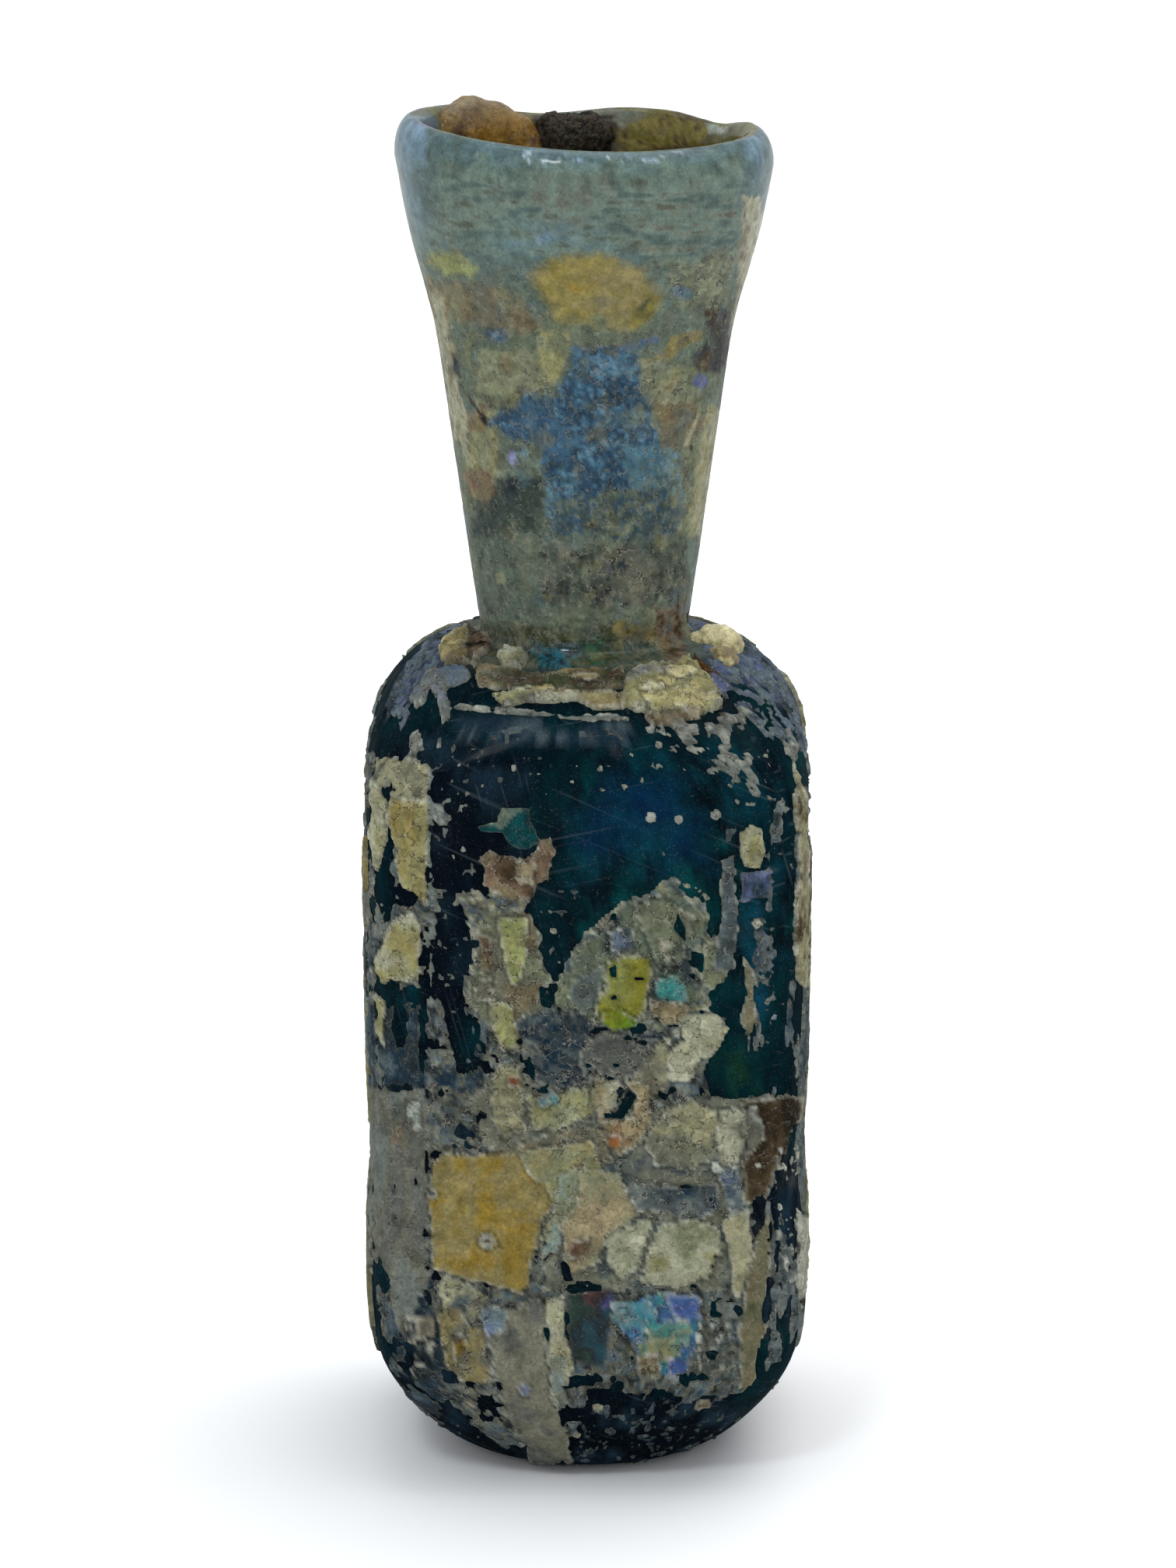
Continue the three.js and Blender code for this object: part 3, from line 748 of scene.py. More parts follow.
    patch(ringOf(974, 1187, 7, 7), "creamPale chalk", 2, 0.1),
    patch("954,1224 970,1247 974,1315 966,1338 950,1315 958,1279", "tan greyGreen", 5, 0.09),
    patch("1020,980 1034,1000 1042,1100 1040,1270 1022,1262 1026,1120", "tan cream brown", 6, 0.08),
    # middle
    patch("661,1311 709,1295 748,1303 768,1319 744,1350 756,1386 717,1398 685,1390 677,1358 693,1350 "
          "661,1323", "slate smoke smokeDark", 8, 0.06, mottle=1.5, pattern="fine"),
    patch("760,1334 780,1327 804,1334 839,1346 843,1366 816,1382 796,1392 772,1382 744,1358",
          "flatGrey grey", 4, 0.1),
    patch(ringOf(792, 1370, 5, 4), "brown", 2, sort="bare"),
    patch("808,1327 835,1325 859,1323 851,1338 820,1342", "slate smokeDark", 4, 0.06),
    patch("839,1346 859,1334 859,1398 839,1414 808,1394", "tan greyTan cream", 5, 0.1),
    patch("870,1310 880,1304 922,1304 938,1324 916,1362 901,1360 889,1390 861,1390 860,1354 880,1336",
          "khaki creamPale cream", 4, 0.15, mottle=1.5),
    patch("632,1376 645,1366 668,1370 676,1398 672,1420 677,1453 650,1470 634,1453 630,1421",
          "oliveTan cream greyTan", 9, 0.11, mottle=1.6),
    patch(ringOf(661, 1390, 9, 9), "maroon rust", 3, 0.1),
    patch("676,1402 700,1412 741,1400 772,1398 766,1429 741,1440 717,1456 685,1450",
          "khaki straw paleGreen", 9, 0.11, mottle=1.4),
    patch(ringOf(704, 1414, 18, 10), "seaGreen tealGlint paleGreen", 9, 0.11, cover=0.8),
    patch("762,1384 800,1388 796,1421 776,1440 772,1455 764,1420", "creamPale pinkCream straw", 6, 0.12),
    patch("800,1388 835,1396 838,1440 824,1466 812,1437 822,1410", "khaki greyGold pinkCream", 7, 0.12,
          mottle=1.5),
    patch("774,1440 812,1437 828,1450 818,1472 796,1483 776,1473", "pinkRust pinkCream greyGold", 7, 0.12,
          mottle=1.5),
    patch(ringOf(790, 1466, 12, 10), "rust pinkRust", 5, 0.13),
    patch("808,1402 818,1410 800,1441 790,1437", "brown", 2, sort="bare"),
    patch("839,1410 867,1412 867,1421 841,1422", "turquoise paleBlue", 5, 0.07, cover=0.6),
    patch("838,1445 860,1425 890,1414 920,1428 926,1450 918,1484 887,1500 846,1494 832,1470",
          "greyTan cream khakiGrey", 12, 0.12, mottle=1.7),
    patch("926,1428 958,1424 964,1445 954,1477 946,1500 926,1496 922,1461", "khaki creamPale greyTan", 8,
          0.13, mottle=1.5),
    patch("920,1500 950,1500 962,1560 945,1590 930,1540", "periwinkle haze chalk", 9, 0.1, mottle=1.5),
    patch("950,1418 1000,1408 1033,1410 1030,1437 1010,1477 990,1540 958,1545 954,1493 968,1453",
          "brownDark brown tan", 11, 0.09, mottle=1.3, pattern="streak", crackle=0.4),
    patch("955,1425 985,1420 980,1460 962,1490", "greyDark greyTan", 8, 0.1, cover=0.7),
    patch(ringOf(975, 1498, 5, 5), "chalk creamPale", 2, 0.12),
    patch("700,1462 740,1448 776,1450 784,1493 756,1501 690,1490 640,1490 630,1478", "cream tan greyTan",
          11, 0.12, mottle=1.7),
    # lower
    patch("555,1493 570,1481 606,1485 661,1481 693,1489 717,1501 713,1544 697,1568 693,1595 677,1649 "
          "673,1665 630,1653 590,1641 557,1632 553,1556", "gold goldPale goldDeep", 6, 0.11, crackle=0.2),
    patch("650,1575 693,1572 685,1611 673,1660 644,1656 646,1607", "goldDeep gold goldDeep", 10, 0.12,
          rim=0.3, crackle=0.2),
    patch(ringOf(556, 1534, 6, 6), "brown greyDark", 2, 0.1),
    patch(ringOf(626, 1595, 11, 11), "ochre creamPale", 2, 0.14),
    patch(ringOf(626, 1595, 6, 6), "gold brown", 2, 0.09),
    patch("661,1481 760,1468 772,1500 745,1560 715,1610 693,1595 713,1544", "straw khaki goldPale", 7, 0.1),
    patch("717,1508 748,1501 741,1556 717,1611 693,1619 713,1556", "paleBlue khaki greyTan", 5, 0.1),
    patch("748,1501 796,1512 808,1540 820,1560 780,1591 768,1619 733,1643 717,1580 741,1548",
          "pinkCream pinkCream khaki", 9, 0.12, mottle=1.4, crackle=0.5),
    patch("733,1595 756,1591 760,1611 744,1621 729,1615", "maroon tan", 4, 0.1),
    patch("721,1621 731,1627 737,1649 725,1649", "brown", 2, sort="bare"),
    patch("780,1591 839,1564 828,1599 820,1627 796,1647 784,1619", "paleBlue khaki creamPale", 8, 0.12,
          mottle=1.3, crackle=0.5),
    patch("804,1524 839,1524 922,1520 930,1556 887,1572 851,1556 820,1556", "slate smoke smokeLight", 7,
          0.07, mottle=1.3),
    patch("830,1611 850,1578 891,1568 922,1577 928,1611 915,1639 875,1656 828,1645",
          "straw creamPale khaki", 10, 0.13, mottle=1.4, crackle=0.5),
    patch("930,1568 958,1556 966,1591 970,1619 958,1645 946,1673 938,1611", "creamPale cream", 5, 0.14,
          crackle=0.3),
    patch("970,1597 990,1562 990,1621 982,1716 970,1771 954,1799 950,1736 954,1680", "olive oliveTan tan",
          7, 0.1, crackle=0.4),
    patch("997,1477 1025,1477 1025,1650 1000,1650", "haze chalk", 6, 0.05, cover=0.28, noise="fine"),
    patch("1025,1550 1041,1574 1043,1629 1029,1680 1023,1649 1029,1601", "khaki chalk", 5, 0.1),
    # towards the foot
    patch("559,1637 590,1645 626,1665 630,1684 606,1700 570,1692", "greyTan cream smoke", 7, 0.07,
          cover=0.7),
    patch("563,1684 590,1688 622,1716 630,1771 614,1782 578,1771 567,1724", "greyTan goldPale tan", 10,
          0.09, mottle=1.6),
    patch("580,1710 600,1712 604,1745 584,1748", "brown goldDeep tan", 8, 0.1, mottle=1.6),
    patch("638,1680 685,1673 701,1680 709,1740 717,1803 733,1843 733,1878 685,1878 673,1851 654,1827 "
          "638,1787 630,1724", "greyCream greyCream grey", 12, 0.1, mottle=1.6, crackle=0.35),
    patch(ringOf(676, 1785, 10, 8), "lavender periwinkle", 5, 0.11, cover=0.8),
    patch("616,1690 634,1678 652,1684 650,1708 630,1714", "blueGrey paleBlue periwinkle", 6, 0.11),
    patch("701,1669 725,1665 729,1716 737,1756 733,1787 709,1787 705,1736", "creamPale straw", 4, 0.12),
    patch("704,1740 730,1746 729,1800 708,1800", "paleBlue greyCream seaGreen", 9, 0.11),
    patch("792,1680 820,1669 859,1663 899,1665 901,1696 895,1730 883,1767 859,1771 820,1752 808,1720 "
          "788,1696", "tealGlint blue turquoise", 9, 0.05, mottle=1.2, gloss=0.8),
    patch("788,1676 830,1670 848,1690 840,1712 800,1706", "turquoise tealGlint paleBlue", 9, 0.05,
          gloss=0.8, mottle=1.3),
    patch("858,1664 899,1666 901,1692 880,1702 862,1688", "violet blue periwinkle", 8, 0.05, gloss=0.8),
    patch("832,1700 886,1700 886,1728 840,1730", "seaGreen turquoise paleGreen", 9, 0.05, gloss=0.7),
    patch("816,1724 880,1722 873,1746 820,1746", "yellowGreen seaGreen straw", 8, 0.06, gloss=0.6),
    patch("816,1742 847,1740 850,1771 822,1768", "cream brown tan", 4, 0.07, mottle=1.5, pattern="fine"),
    patch("859,1748 887,1744 884,1770 860,1771", "blue violet", 4, 0.05, gloss=0.8),
    patch("895,1700 938,1704 936,1771 897,1768", "smoke chalk", 6, 0.05, cover=0.3, noise="fine"),
    patch("792,1771 835,1775 833,1803 794,1800", "haze smokeLight", 6, 0.04, cover=0.4, noise="streak"),
    patch("574,1779 646,1790 646,1866 590,1850", "haze smoke", 6, 0.02, cover=0.14, noise="fine", rim=0.1),
    patch("737,1790 934,1790 920,1890 745,1890", "slateDark slate haze", 9, 0.02, cover=0.3, noise="fine",
          rim=0, crackle=0.3),
    patch("737,1803 934,1803 920,1890 745,1890", "haze smoke slate", 6, 0.02, cover=0.08, noise="fine",
          rim=0.1),
    patch("895,1801 914,1800 914,1812 896,1812", "tan brown", 3, 0.06),
    patch(ringOf(768, 1809, 7, 5), "tan cream", 3, 0.06),
    patch(ringOf(742, 1847, 7, 5), "tan cream", 3, 0.06),
    patch(ringOf(604, 1805, 7, 6), "tan brown", 3, 0.06),
]

# Small pale pits of the glass, the dotted scratch among them: across, down and size in pixels
pits = [
    (660, 987, 5), (693, 995, 3), (667, 1010, 3), (837, 1052, 8), (873, 1054, 7), (921, 1048, 8),
    (595, 1093, 5), (774, 1015, 4), (803, 1012, 5), (825, 1003, 4), (854, 1098, 3), (563, 958, 4),
    (590, 982, 4), (716, 1020, 3), (741, 985, 3), (620, 1010, 3), (948, 1030, 4), (600, 1020, 3),
    (880, 990, 3), (684, 1034, 3), (692, 1028, 3), (703, 1021, 2), (735, 1004, 4), (752, 997, 2),
    (772, 988, 5), (783, 983, 3), (812, 971, 4), (824, 966, 2),
]
bodyCrusts += [patch(ringOf(x, y, size, size), "chalk smokeLight", 1.5, 0.04, rim=0.2)
               for x, y, size in pits]

# Colours in the bare glass of the body
glassStains = [
    patch("470,930 700,930 720,1200 700,1500 700,1890 470,1890", "navy navy slate", 20, soft=40,
          pattern="broad"),
    # The teal of the upper right is the glass's own tint, brightened with painted light that passes through and
    # reflects inside it
    patch("690,930 1045,930 1045,1300 690,1300", "teal navy tealBright", 30, soft=50, pattern="broad"),
    patch("690,1300 1045,1300 1045,1890 690,1890", "navy tealDark", 20, soft=30, pattern="broad"),
    patch("578,926 835,926 835,970 578,970", "slate navy smokeDark", 14, soft=18),
    patch("770,990 900,980 930,1120 850,1140 720,1100", "blueDeep teal", 20, soft=40, pattern="broad"),
    patch("904,1336 950,1330 988,1350 988,1420 940,1420 906,1390", "bottleGreen tealDark bottleGreen", 8,
          soft=12),
    patch("945,1160 990,1156 996,1300 985,1340 960,1300", "blueTeal teal slate", 8, soft=12),
    patch("880,785 950,792 1010,840 1040,905 1000,905 940,880 915,870", "slate periwinkle slate", 10,
          soft=14),
    patch("495,900 520,850 555,805 600,790 600,840 540,880 510,915", "slate periwinkle blueGrey", 10,
          soft=14),
    patch("507,1275 547,1267 547,1374 503,1374 499,1303", "navy tealDark teal", 6, soft=5),
    patch("578,1291 626,1319 622,1366 606,1394 586,1366", "navy tealDark", 5, soft=5),
    patch("940,1490 1045,1470 1045,1700 940,1720", "slate navy smokeDark", 14, soft=14),
    patch("560,1750 960,1790 920,1900 600,1900", "navy navy slateDark", 12, soft=14),
    patch("576,912 618,914 685,920 741,928 792,924 822,934 800,956 741,960 640,956 580,946",
          "slateDark slate haze", 10, soft=9, mottle=0.9, pattern="ripple"),
]

print("Patches ready:", len(neckStains) + len(mouthStains), "on the neck,", len(bodyCrusts), "on the body")

# The weathered colours of the neck and lip, and of the dark glass below them
neckLook = {
    "body": ("tealDark", "navy"), "green": ("neckGreen", "paleGreen"), "brown": ("neckBrown", "lipGreen"),
    "lip": ("lipDark", "lipBlue"), "inside": "oliveTan",
    "neckFrom": (-0.8, 0.6), "lipFrom": (-9, -3),   # mm from the body's height and from the lip's
    "unseen": 0.12,          # chance takes over where the glass faces the eye less than this
    "flakes": 70, "flakeSize": (0.9, 3.2), "flakeSeed": 5,
    "blobs": 420, "blobSize": (0.25, 0.8), "blobSeed": 6, "blobStrength": 0.28,
    "flecks": 0.36, "crumbs": 0.22,                 # strength of the dark flecks and the pale crumbs
    "kinds": [               # stains by chance: colours, how often, the noise that mixes them
        ("khaki paleGreen straw", 5, "edge"), ("goldNeck straw gold", 2, "edge"),
        ("tan cream greyTan", 3, "edge"),
        ("slateBlue neckBlue bluePale", 3, "fine"), ("smokeDark greyDark neckGreen", 3, "fine"),
        ("lipBlue blueGrey lipGreen", 4, "ripple"), ("greyGreen neckGreen neckBrown", 5, "fine"),
    ],
}


# Places of a turned wall that lie further in than this from its outside
def liesInside(places, outer, footSteps, wall):
    outerAt = np.interp(places[:, 2], [p[1] for p in outer[footSteps:]], [p[0] for p in outer[footSteps:]])
    return (outerAt - np.hypot(places[:, 0], places[:, 1]) > wall) & (places[:, 2] > 0.3)


# The vessel itself: outside, rolled lip and inside in one closed wall
outer = outerSection(vessel["steps"])
inner = innerSection(outer)
rim, lipEnd = outer[-1], inner[-1]
lipMiddle = (rim[0] + lipEnd[0]) / 2
lip = arc((lipMiddle, (rim[1] + lipEnd[1]) / 2), (rim[0] - lipEnd[0]) / 2, vessel["lipRound"], 0, 180, 18)
inside = [p for i, p in enumerate(inner[::-1]) if i % 4 == 0 or i < 60 and i % 2 == 0]
section = outer + lip[1:-1] + inside + [(0, inner[0][1])]
glassBottle = spunShell("glassBottle", section, vessel["columns"], vessel["crowding"])
turned = placesOf(glassBottle)
isInside = liesInside(turned, outer, vessel["steps"][0], 0.5 * wallAt(turned[:, 2]))
isInside |= (turned[:, 2] > rim[1] - 0.01) & (np.hypot(turned[:, 0], turned[:, 1]) < lipMiddle)
putPlaces(glassBottle, shapeByHand(turned))

canvas = startCanvas(glassBottle, "lipGreen")
height = canvas["places"][:, 2]
neckShare = smooth(*[vessel["bodyHeight"] + start for start in neckLook["neckFrom"]], height)
lipShare = smooth(*[vessel["lipHeight"] + start for start in neckLook["lipFrom"]], height)
mixing = np.clip(0.5 + 1.1 * canvas["edge"] + 0.4 * canvas["fine"], 0, 1)[:, None]
hue = np.clip(0.5 + 1.6 * canvas["broad"], 0, 1)[:, None]
ground = mix(blend(neckLook["green"], mixing), blend(neckLook["brown"], mixing), hue)
ground = mix(ground, blend(neckLook["lip"], mixing), lipShare[:, None])
canvas["tint"] = mix(blend(neckLook["body"], mixing), ground, neckShare[:, None])
canvas["gloss"] = 0.05 + 0.23 * neckShare + 0.6 * lipShare + 0.05 * canvas["streak"]
canvas["crackle"] = 0.55 * neckShare * (1 - 0.7 * lipShare)
canvas["allowed"] = ~isInside
kinds = [{"sort": "stain", "colours": tint.split(), "often": often, "pattern": pattern, "soft": 7,
          "mottle": 1.4} for tint, often, pattern in neckLook["kinds"]]
onNeck = ~isInside & (neckShare > 0.5)
spots = np.nonzero(onNeck & (canvas["facing"] < neckLook["unseen"]) & (lipShare < 0.3))[0]
scatter(canvas, spots, neckLook["flakes"], neckLook["flakeSize"], kinds, neckLook["flakeSeed"])
for stain in glassStains + neckStains:
    layPatch(canvas, {"sort": "stain", "soft": 6, **stain, "ragged": 1.5 * stain["ragged"]})
kinds = [{**kind, "strength": neckLook["blobStrength"], "soft": 5} for kind in kinds]
spots = np.nonzero(onNeck & (lipShare < 0.2))[0]
scatter(canvas, spots, neckLook["blobs"], neckLook["blobSize"], kinds, neckLook["blobSeed"])
flecks = smooth(0.24, 0.42, 0.5 * canvas["fine"] + 0.8 * canvas["ripple"]) * neckShare
flecks *= smooth(0, 0.15, canvas["crackle"])
canvas["tint"] *= 1 - neckLook["flecks"] * flecks[:, None]
crumbs = smooth(0.5, 0.8, -canvas["crumb"] - 0.5 * canvas["fine"]) * (neckShare - lipShare)
canvas["tint"] += (colour("creamPale") - canvas["tint"]) * neckLook["crumbs"] * crumbs[:, None]
# The inside wall takes half the inside colour: painted shade in the hollow
canvas["tint"][isInside] = colour(neckLook["inside"]) * 0.5
canvas["allowed"] = isInside
for stain in mouthStains:
    layPatch(canvas, {"sort": "stain", **stain})
relief = np.where(isInside, 0, -vessel["inset"] * (1 - neckShare))
relief += neckShare * (0.03 * canvas["edge"] + 0.02 * canvas["fine"])
relief += 0.012 * canvas["broad"]
putPlaces(glassBottle, canvas["places"] + canvas["ways"] * relief[:, None])
putLooks(glassBottle, canvas)
putAttribute(glassBottle, "neck", neckShare)
print("Glass vessel turned, shaped and stained:", len(turned), "points")

# The crust: a closed skin that lies hidden in the glass and stands out of it where the photograph shows crust
skin = {
    "columns": 336, "crowding": 0.55, "steps": (4, 62, 148, 52, 8, 60), "neckRows": 8,
    "buried": 0.3,           # mm below the true surface where there is no crust
    "wall": 0.9,             # mm from there to the skin's own inside
    "unseen": 0.1,           # chance takes over where the glass faces the eye less than this
    "behind": 1.5,           # mm towards the back from which it takes over everywhere
    "ground": {              # thin crust where the photograph doesn't look: cover, rise in mm, colours
        "shoulder": (0.32, 0.04, "slate smokeDark haze"), "foot": (0.3, 0.01, "navy slate smokeDark"),
        "low": (0.62, 0.05, "smokeDark greyTan haze"), "high": (0.52, 0.05, "smokeDark greyTan haze"),
    },
    "flakes": 150, "flakeSize": (0.8, 3.4), "seed": 12,
    "kinds": [               # flakes there: colours, how much they rise in mm, how often
        ("greyTan cream tan", 0.12, 9), ("gold goldPale ochre", 0.11, 6), ("khaki yellowGreen straw", 0.12, 7),
        ("smoke smokeDark flatGrey", 0.06, 8), ("creamPale cream khaki", 0.15, 6),
        ("pinkCream cream pink", 0.12, 4),
        ("slate smoke", 0.05, 6), ("brownDark brown greyDark", 0.09, 4), ("smoke paleGreen khaki", 0.1, 6),
        ("olive oliveTan tan", 0.1, 5), ("paleBlue khaki chalk", 0.09, 4), ("turquoise blue seaGreen", 0.04, 2),
    ],
}
outer = outerSection(skin["steps"])[:sum(skin["steps"][:5]) + skin["neckRows"]]
back = innerSection(outer, skin["wall"])
last, folds = len(back) - 1, sum(skin["steps"][:4])
kept = [i for i in range(5, last) if (i % 26 == 0 if i < folds else i % 4 == 1)] + [last]
back = [back[i] for i in kept[::-1]]
bodyCrust = spunShell("bodyCrust", outer + back + [(0, back[-1][1])], skin["columns"], skin["crowding"])
turned = placesOf(bodyCrust)
isHidden = liesInside(turned, outer, skin["steps"][0], 0.4 * skin["wall"])
putPlaces(bodyCrust, shapeByHand(turned))
canvas = startCanvas(bodyCrust, "greyTan")
toBack, height = canvas["places"][:, 1], canvas["places"][:, 2]
canvas["allowed"] = ~isHidden & (toBack < skin["behind"])

# The sides that the photograph doesn't show: thin grey crust, thicker towards the foot, and flakes by chance
wander = height + 3 * canvas["broad"] + 2 * canvas["edge"]
unseen = ((canvas["facing"] < skin["unseen"]) | (toBack > skin["behind"])) & ~isHidden
onShoulder = wander > vessel["bodyHeight"] - vessel["shoulderRoll"] - 2
atFoot = (wander < 8) & (toBack < 3)
onSides = unseen & ~onShoulder & ~atFoot
zones = {"shoulder": unseen & onShoulder, "foot": unseen & atFoot,
         "low": onSides & (height < 15), "high": onSides & (height >= 15)}
for zone, (cover, rise, tint) in skin["ground"].items():
    spots = np.nonzero(zones[zone])[0]
    paint(canvas, spots, np.full(len(spots), brush["far"]),
          {"colours": tint.split(), "rise": rise, "cover": cover, "mottle": 1.6, "pattern": "fine", "rim": 0.5})
kinds = [{"colours": tint.split(), "rise": rise, "often": often, "mottle": 1.3}
         for tint, rise, often in skin["kinds"]]
spots = np.nonzero(unseen & ~atFoot & (~onShoulder | (toBack > 4)))[0]
scatter(canvas, spots, skin["flakes"], skin["flakeSize"], kinds, skin["seed"])
for crust in bodyCrusts:
    layPatch(canvas, crust)
lift = smooth(-2, 2.5, canvas["field"])
relief = lift * (canvas["rise"] * (1 + 0.6 * canvas["fine"]) + 0.02 * canvas["crumb"])
relief = np.where(isHidden, 0, relief - skin["buried"] * (1 - lift))
laid = canvas["places"] + canvas["ways"] * relief[:, None]
laid[:, 2] = np.maximum(laid[:, 2], 0)
putPlaces(bodyCrust, laid)
putLooks(bodyCrust, canvas)
print("Crust skin laid:", len(turned), "points")

# Lumps that stand well out of the glass. Each ball: degrees from +X towards +Y, then in mm its distance
# from the axis, its height, and its size along the ring, through it and upwards
# litTop: a paler colour painted over a lump's top as painted light, and the heights where it starts and is full
lumps = {
    "lipCrust": {
        "balls": [(148, 8.05, 68.8, 3.4, 2.2, 3.5), (139, 8.1, 69.0, 4.2, 2.3, 3.6),
                  (130, 8.05, 68.7, 4.2, 2.2, 3.5), (122, 7.95, 68.2, 3.8, 2.0, 3.2),
                  (114, 7.85, 67.6, 3.0, 1.8, 2.7)],
        "tint": "amberDark amber amberBright", "rough": 0.1, "grit": 0.07, "gloss": 0.6, "melt": 50,
        "litTop": ("greyGold", 69.0, 70.8), "pattern": "edge",
    },
    "mouthSoil": {
        "balls": [(103, 7.6, 68.3, 2.2, 2.1, 2.8), (89, 7.6, 68.3, 2.5, 2.1, 2.9),
                  (96, 7.5, 68.2, 2.8, 2.0, 3.0)],
        "tint": "soilDark soil brownDark", "rough": 0.3, "grit": 0.22, "gloss": 0.1, "melt": 4,
        "litTop": ("soilDark", 90, 91), "pattern": "fine",
    },
    "shoulderLump": {
        "balls": [(-14, 6.9, 43.3, 2.2, 3.0, 1.9), (-27, 7.8, 42.9, 1.8, 2.0, 1.5)],
        "tint": "greyGold creamGold whiteGold", "rough": 0.34, "grit": 0.16, "gloss": 0.3, "melt": 6,
        "litTop": ("whiteGold", 43.2, 44.3), "pattern": "edge",
    },
}
lumpMesh = {"detail": 6, "voxel": 0.07, "swellSize": 0.9, "swellSeed": 61, "litTopStrength": 0.7}


def makeLump(name, plan):
    balls = []
    for number, (angle, reach, height, along, through, tall) in enumerate(plan["balls"]):
        tidyUp()
        bpy.ops.mesh.primitive_ico_sphere_add(subdivisions=lumpMesh["detail"], radius=mm)
        ball = bpy.context.object
        places = placesOf(ball)
        noise = cloud(places + number * 7, lumpMesh["swellSize"], lumpMesh["swellSeed"] + number, 3)
        swell = 1 + plan["rough"] * noise * 0.5
        places = places * swell[:, None] * 0.5 * np.array([through, along, tall])
        turn = math.radians(angle)
        spun = places.copy()
        spun[:, 0] = places[:, 0] * math.cos(turn) - places[:, 1] * math.sin(turn) + reach * math.cos(turn)
        spun[:, 1] = places[:, 0] * math.sin(turn) + places[:, 1] * math.cos(turn) + reach * math.sin(turn)
        spun[:, 2] += height
        putPlaces(ball, spun)
        balls.append(ball)
    tidyUp()
    for ball in balls:
        ball.select_set(True)
    bpy.context.view_layer.objects.active = balls[0]
    bpy.ops.object.join()
    lump = bpy.context.object
    lump.name = lump.data.name = name
    fuse = lump.modifiers.new("fuse", "REMESH")
    fuse.mode = "VOXEL"
    fuse.voxel_size = lumpMesh["voxel"] * mm
    fuse.use_smooth_shade = True
    bpy.ops.object.modifier_apply(modifier="fuse")
    melt = lump.modifiers.new("melt", "SMOOTH")
    melt.factor = 0.5
    melt.iterations = plan["melt"]
    bpy.ops.object.modifier_apply(modifier="melt")
    canvas = startCanvas(lump, "soil")
    relief = plan["grit"] * (0.7 * canvas["edge"] + 0.6 * canvas["fine"]) - plan["grit"] * 0.4
    putPlaces(lump, canvas["places"] + canvas["ways"] * relief[:, None])
    mixing = np.clip(0.5 + 1.5 * canvas[plan["pattern"]] + 0.6 * canvas["fine"], 0, 1)[:, None]
    # A paler colour over each lump's top: painted light where it faces the lamps above
    litTop, low, high = plan["litTop"]
    litTopShare = smooth(low, high, canvas["places"][:, 2] + 0.5 * canvas["edge"])[:, None]
    canvas["tint"] = mix(blend(plan["tint"].split(), mixing), colour(litTop), lumpMesh["litTopStrength"] * litTopShare)
    canvas["gloss"] += plan["gloss"]
    putLooks(lump, canvas)
    return lump


lumpPieces = {name: makeLump(name, plan) for name, plan in lumps.items()}
print("Lumps made:", ", ".join(lumpPieces))


# Sets a node's input to a number or colour, or links it to another node's output
def plug(tree, value, socket):
    if isinstance(value, (int, float, tuple)):
        socket.default_value = value
    else:
        tree.links.new(value, socket)


def reckon(tree, operation, *values):
    made = tree.nodes.new("ShaderNodeMath")
    made.operation = operation
    for value, socket in zip(values, made.inputs):
        plug(tree, value, socket)
    return made.outputs[0]


# Takes a value from low and high to first and last, and no further
def between(tree, value, low, high, first=0, last=1):
    made = tree.nodes.new("ShaderNodeMapRange")
    plug(tree, value, made.inputs["Value"])
    for name, number in (("From Min", low), ("From Max", high), ("To Min", first), ("To Max", last)):
        made.inputs[name].default_value = number
    return made.outputs["Result"]


def mixColours(tree, share, first, second):
    made = tree.nodes.new("ShaderNodeMix")
    made.data_type = "RGBA"
    for number, value in ((0, share), (6, first), (7, second)):
        plug(tree, value, made.inputs[number])
    return made.outputs[2]


def noiseNode(tree, place, scale, detail, roughness=0.5):
    made = tree.nodes.new("ShaderNodeTexNoise")
    for name, value in (("Vector", place), ("Scale", scale), ("Detail", detail), ("Roughness", roughness)):
        plug(tree, value, made.inputs[name])
    return made.outputs


def attributeNode(tree, name):
    made = tree.nodes.new("ShaderNodeAttribute")
    made.attribute_name = name
    return made.outputs


# Starts a group whose inputs and outputs are given; returns it with its input, output and place nodes
def startGroup(name, inputs, outputs):
    group = bpy.data.node_groups.new(name, "ShaderNodeTree")
    for title, value in inputs.items():
        kind = "NodeSocketColor" if isinstance(value, tuple) else "NodeSocketFloat"
        group.interface.new_socket(title, in_out="INPUT", socket_type=kind).default_value = value
    for title, kind in outputs.items():
        group.interface.new_socket(title, in_out="OUTPUT", socket_type=kind)
    start, end = group.nodes.new("NodeGroupInput"), group.nodes.new("NodeGroupOutput")
    return group, start.outputs, end.inputs, group.nodes.new("ShaderNodeTexCoord").outputs["Object"]


# Fine wear that every surface carries, with painted shadow and highlight lines at its layers' edges; scales are
# shares of the finish's own
wearAndEdgeShadeLook = {
    "coarse": (0.35, 5, 0.65), "speck": (2.6, 2, 0.5), "fine": (1.6, 4, 0.7), "layer": (0.24, 4, 0.62),
    "patchy": (0.5, 2, 0.5),
    "crackCells": 0.3, "crackBend": (0.0006, 0.0006, 0.0006), "crackDark": 0.75,
    "edgeShadow": 0.8, "edgePaleHighlight": 0.4, "dust": (0.42, 0.4, 0.32, 1), "plates": 0.24, "terrace": 0.5,
}


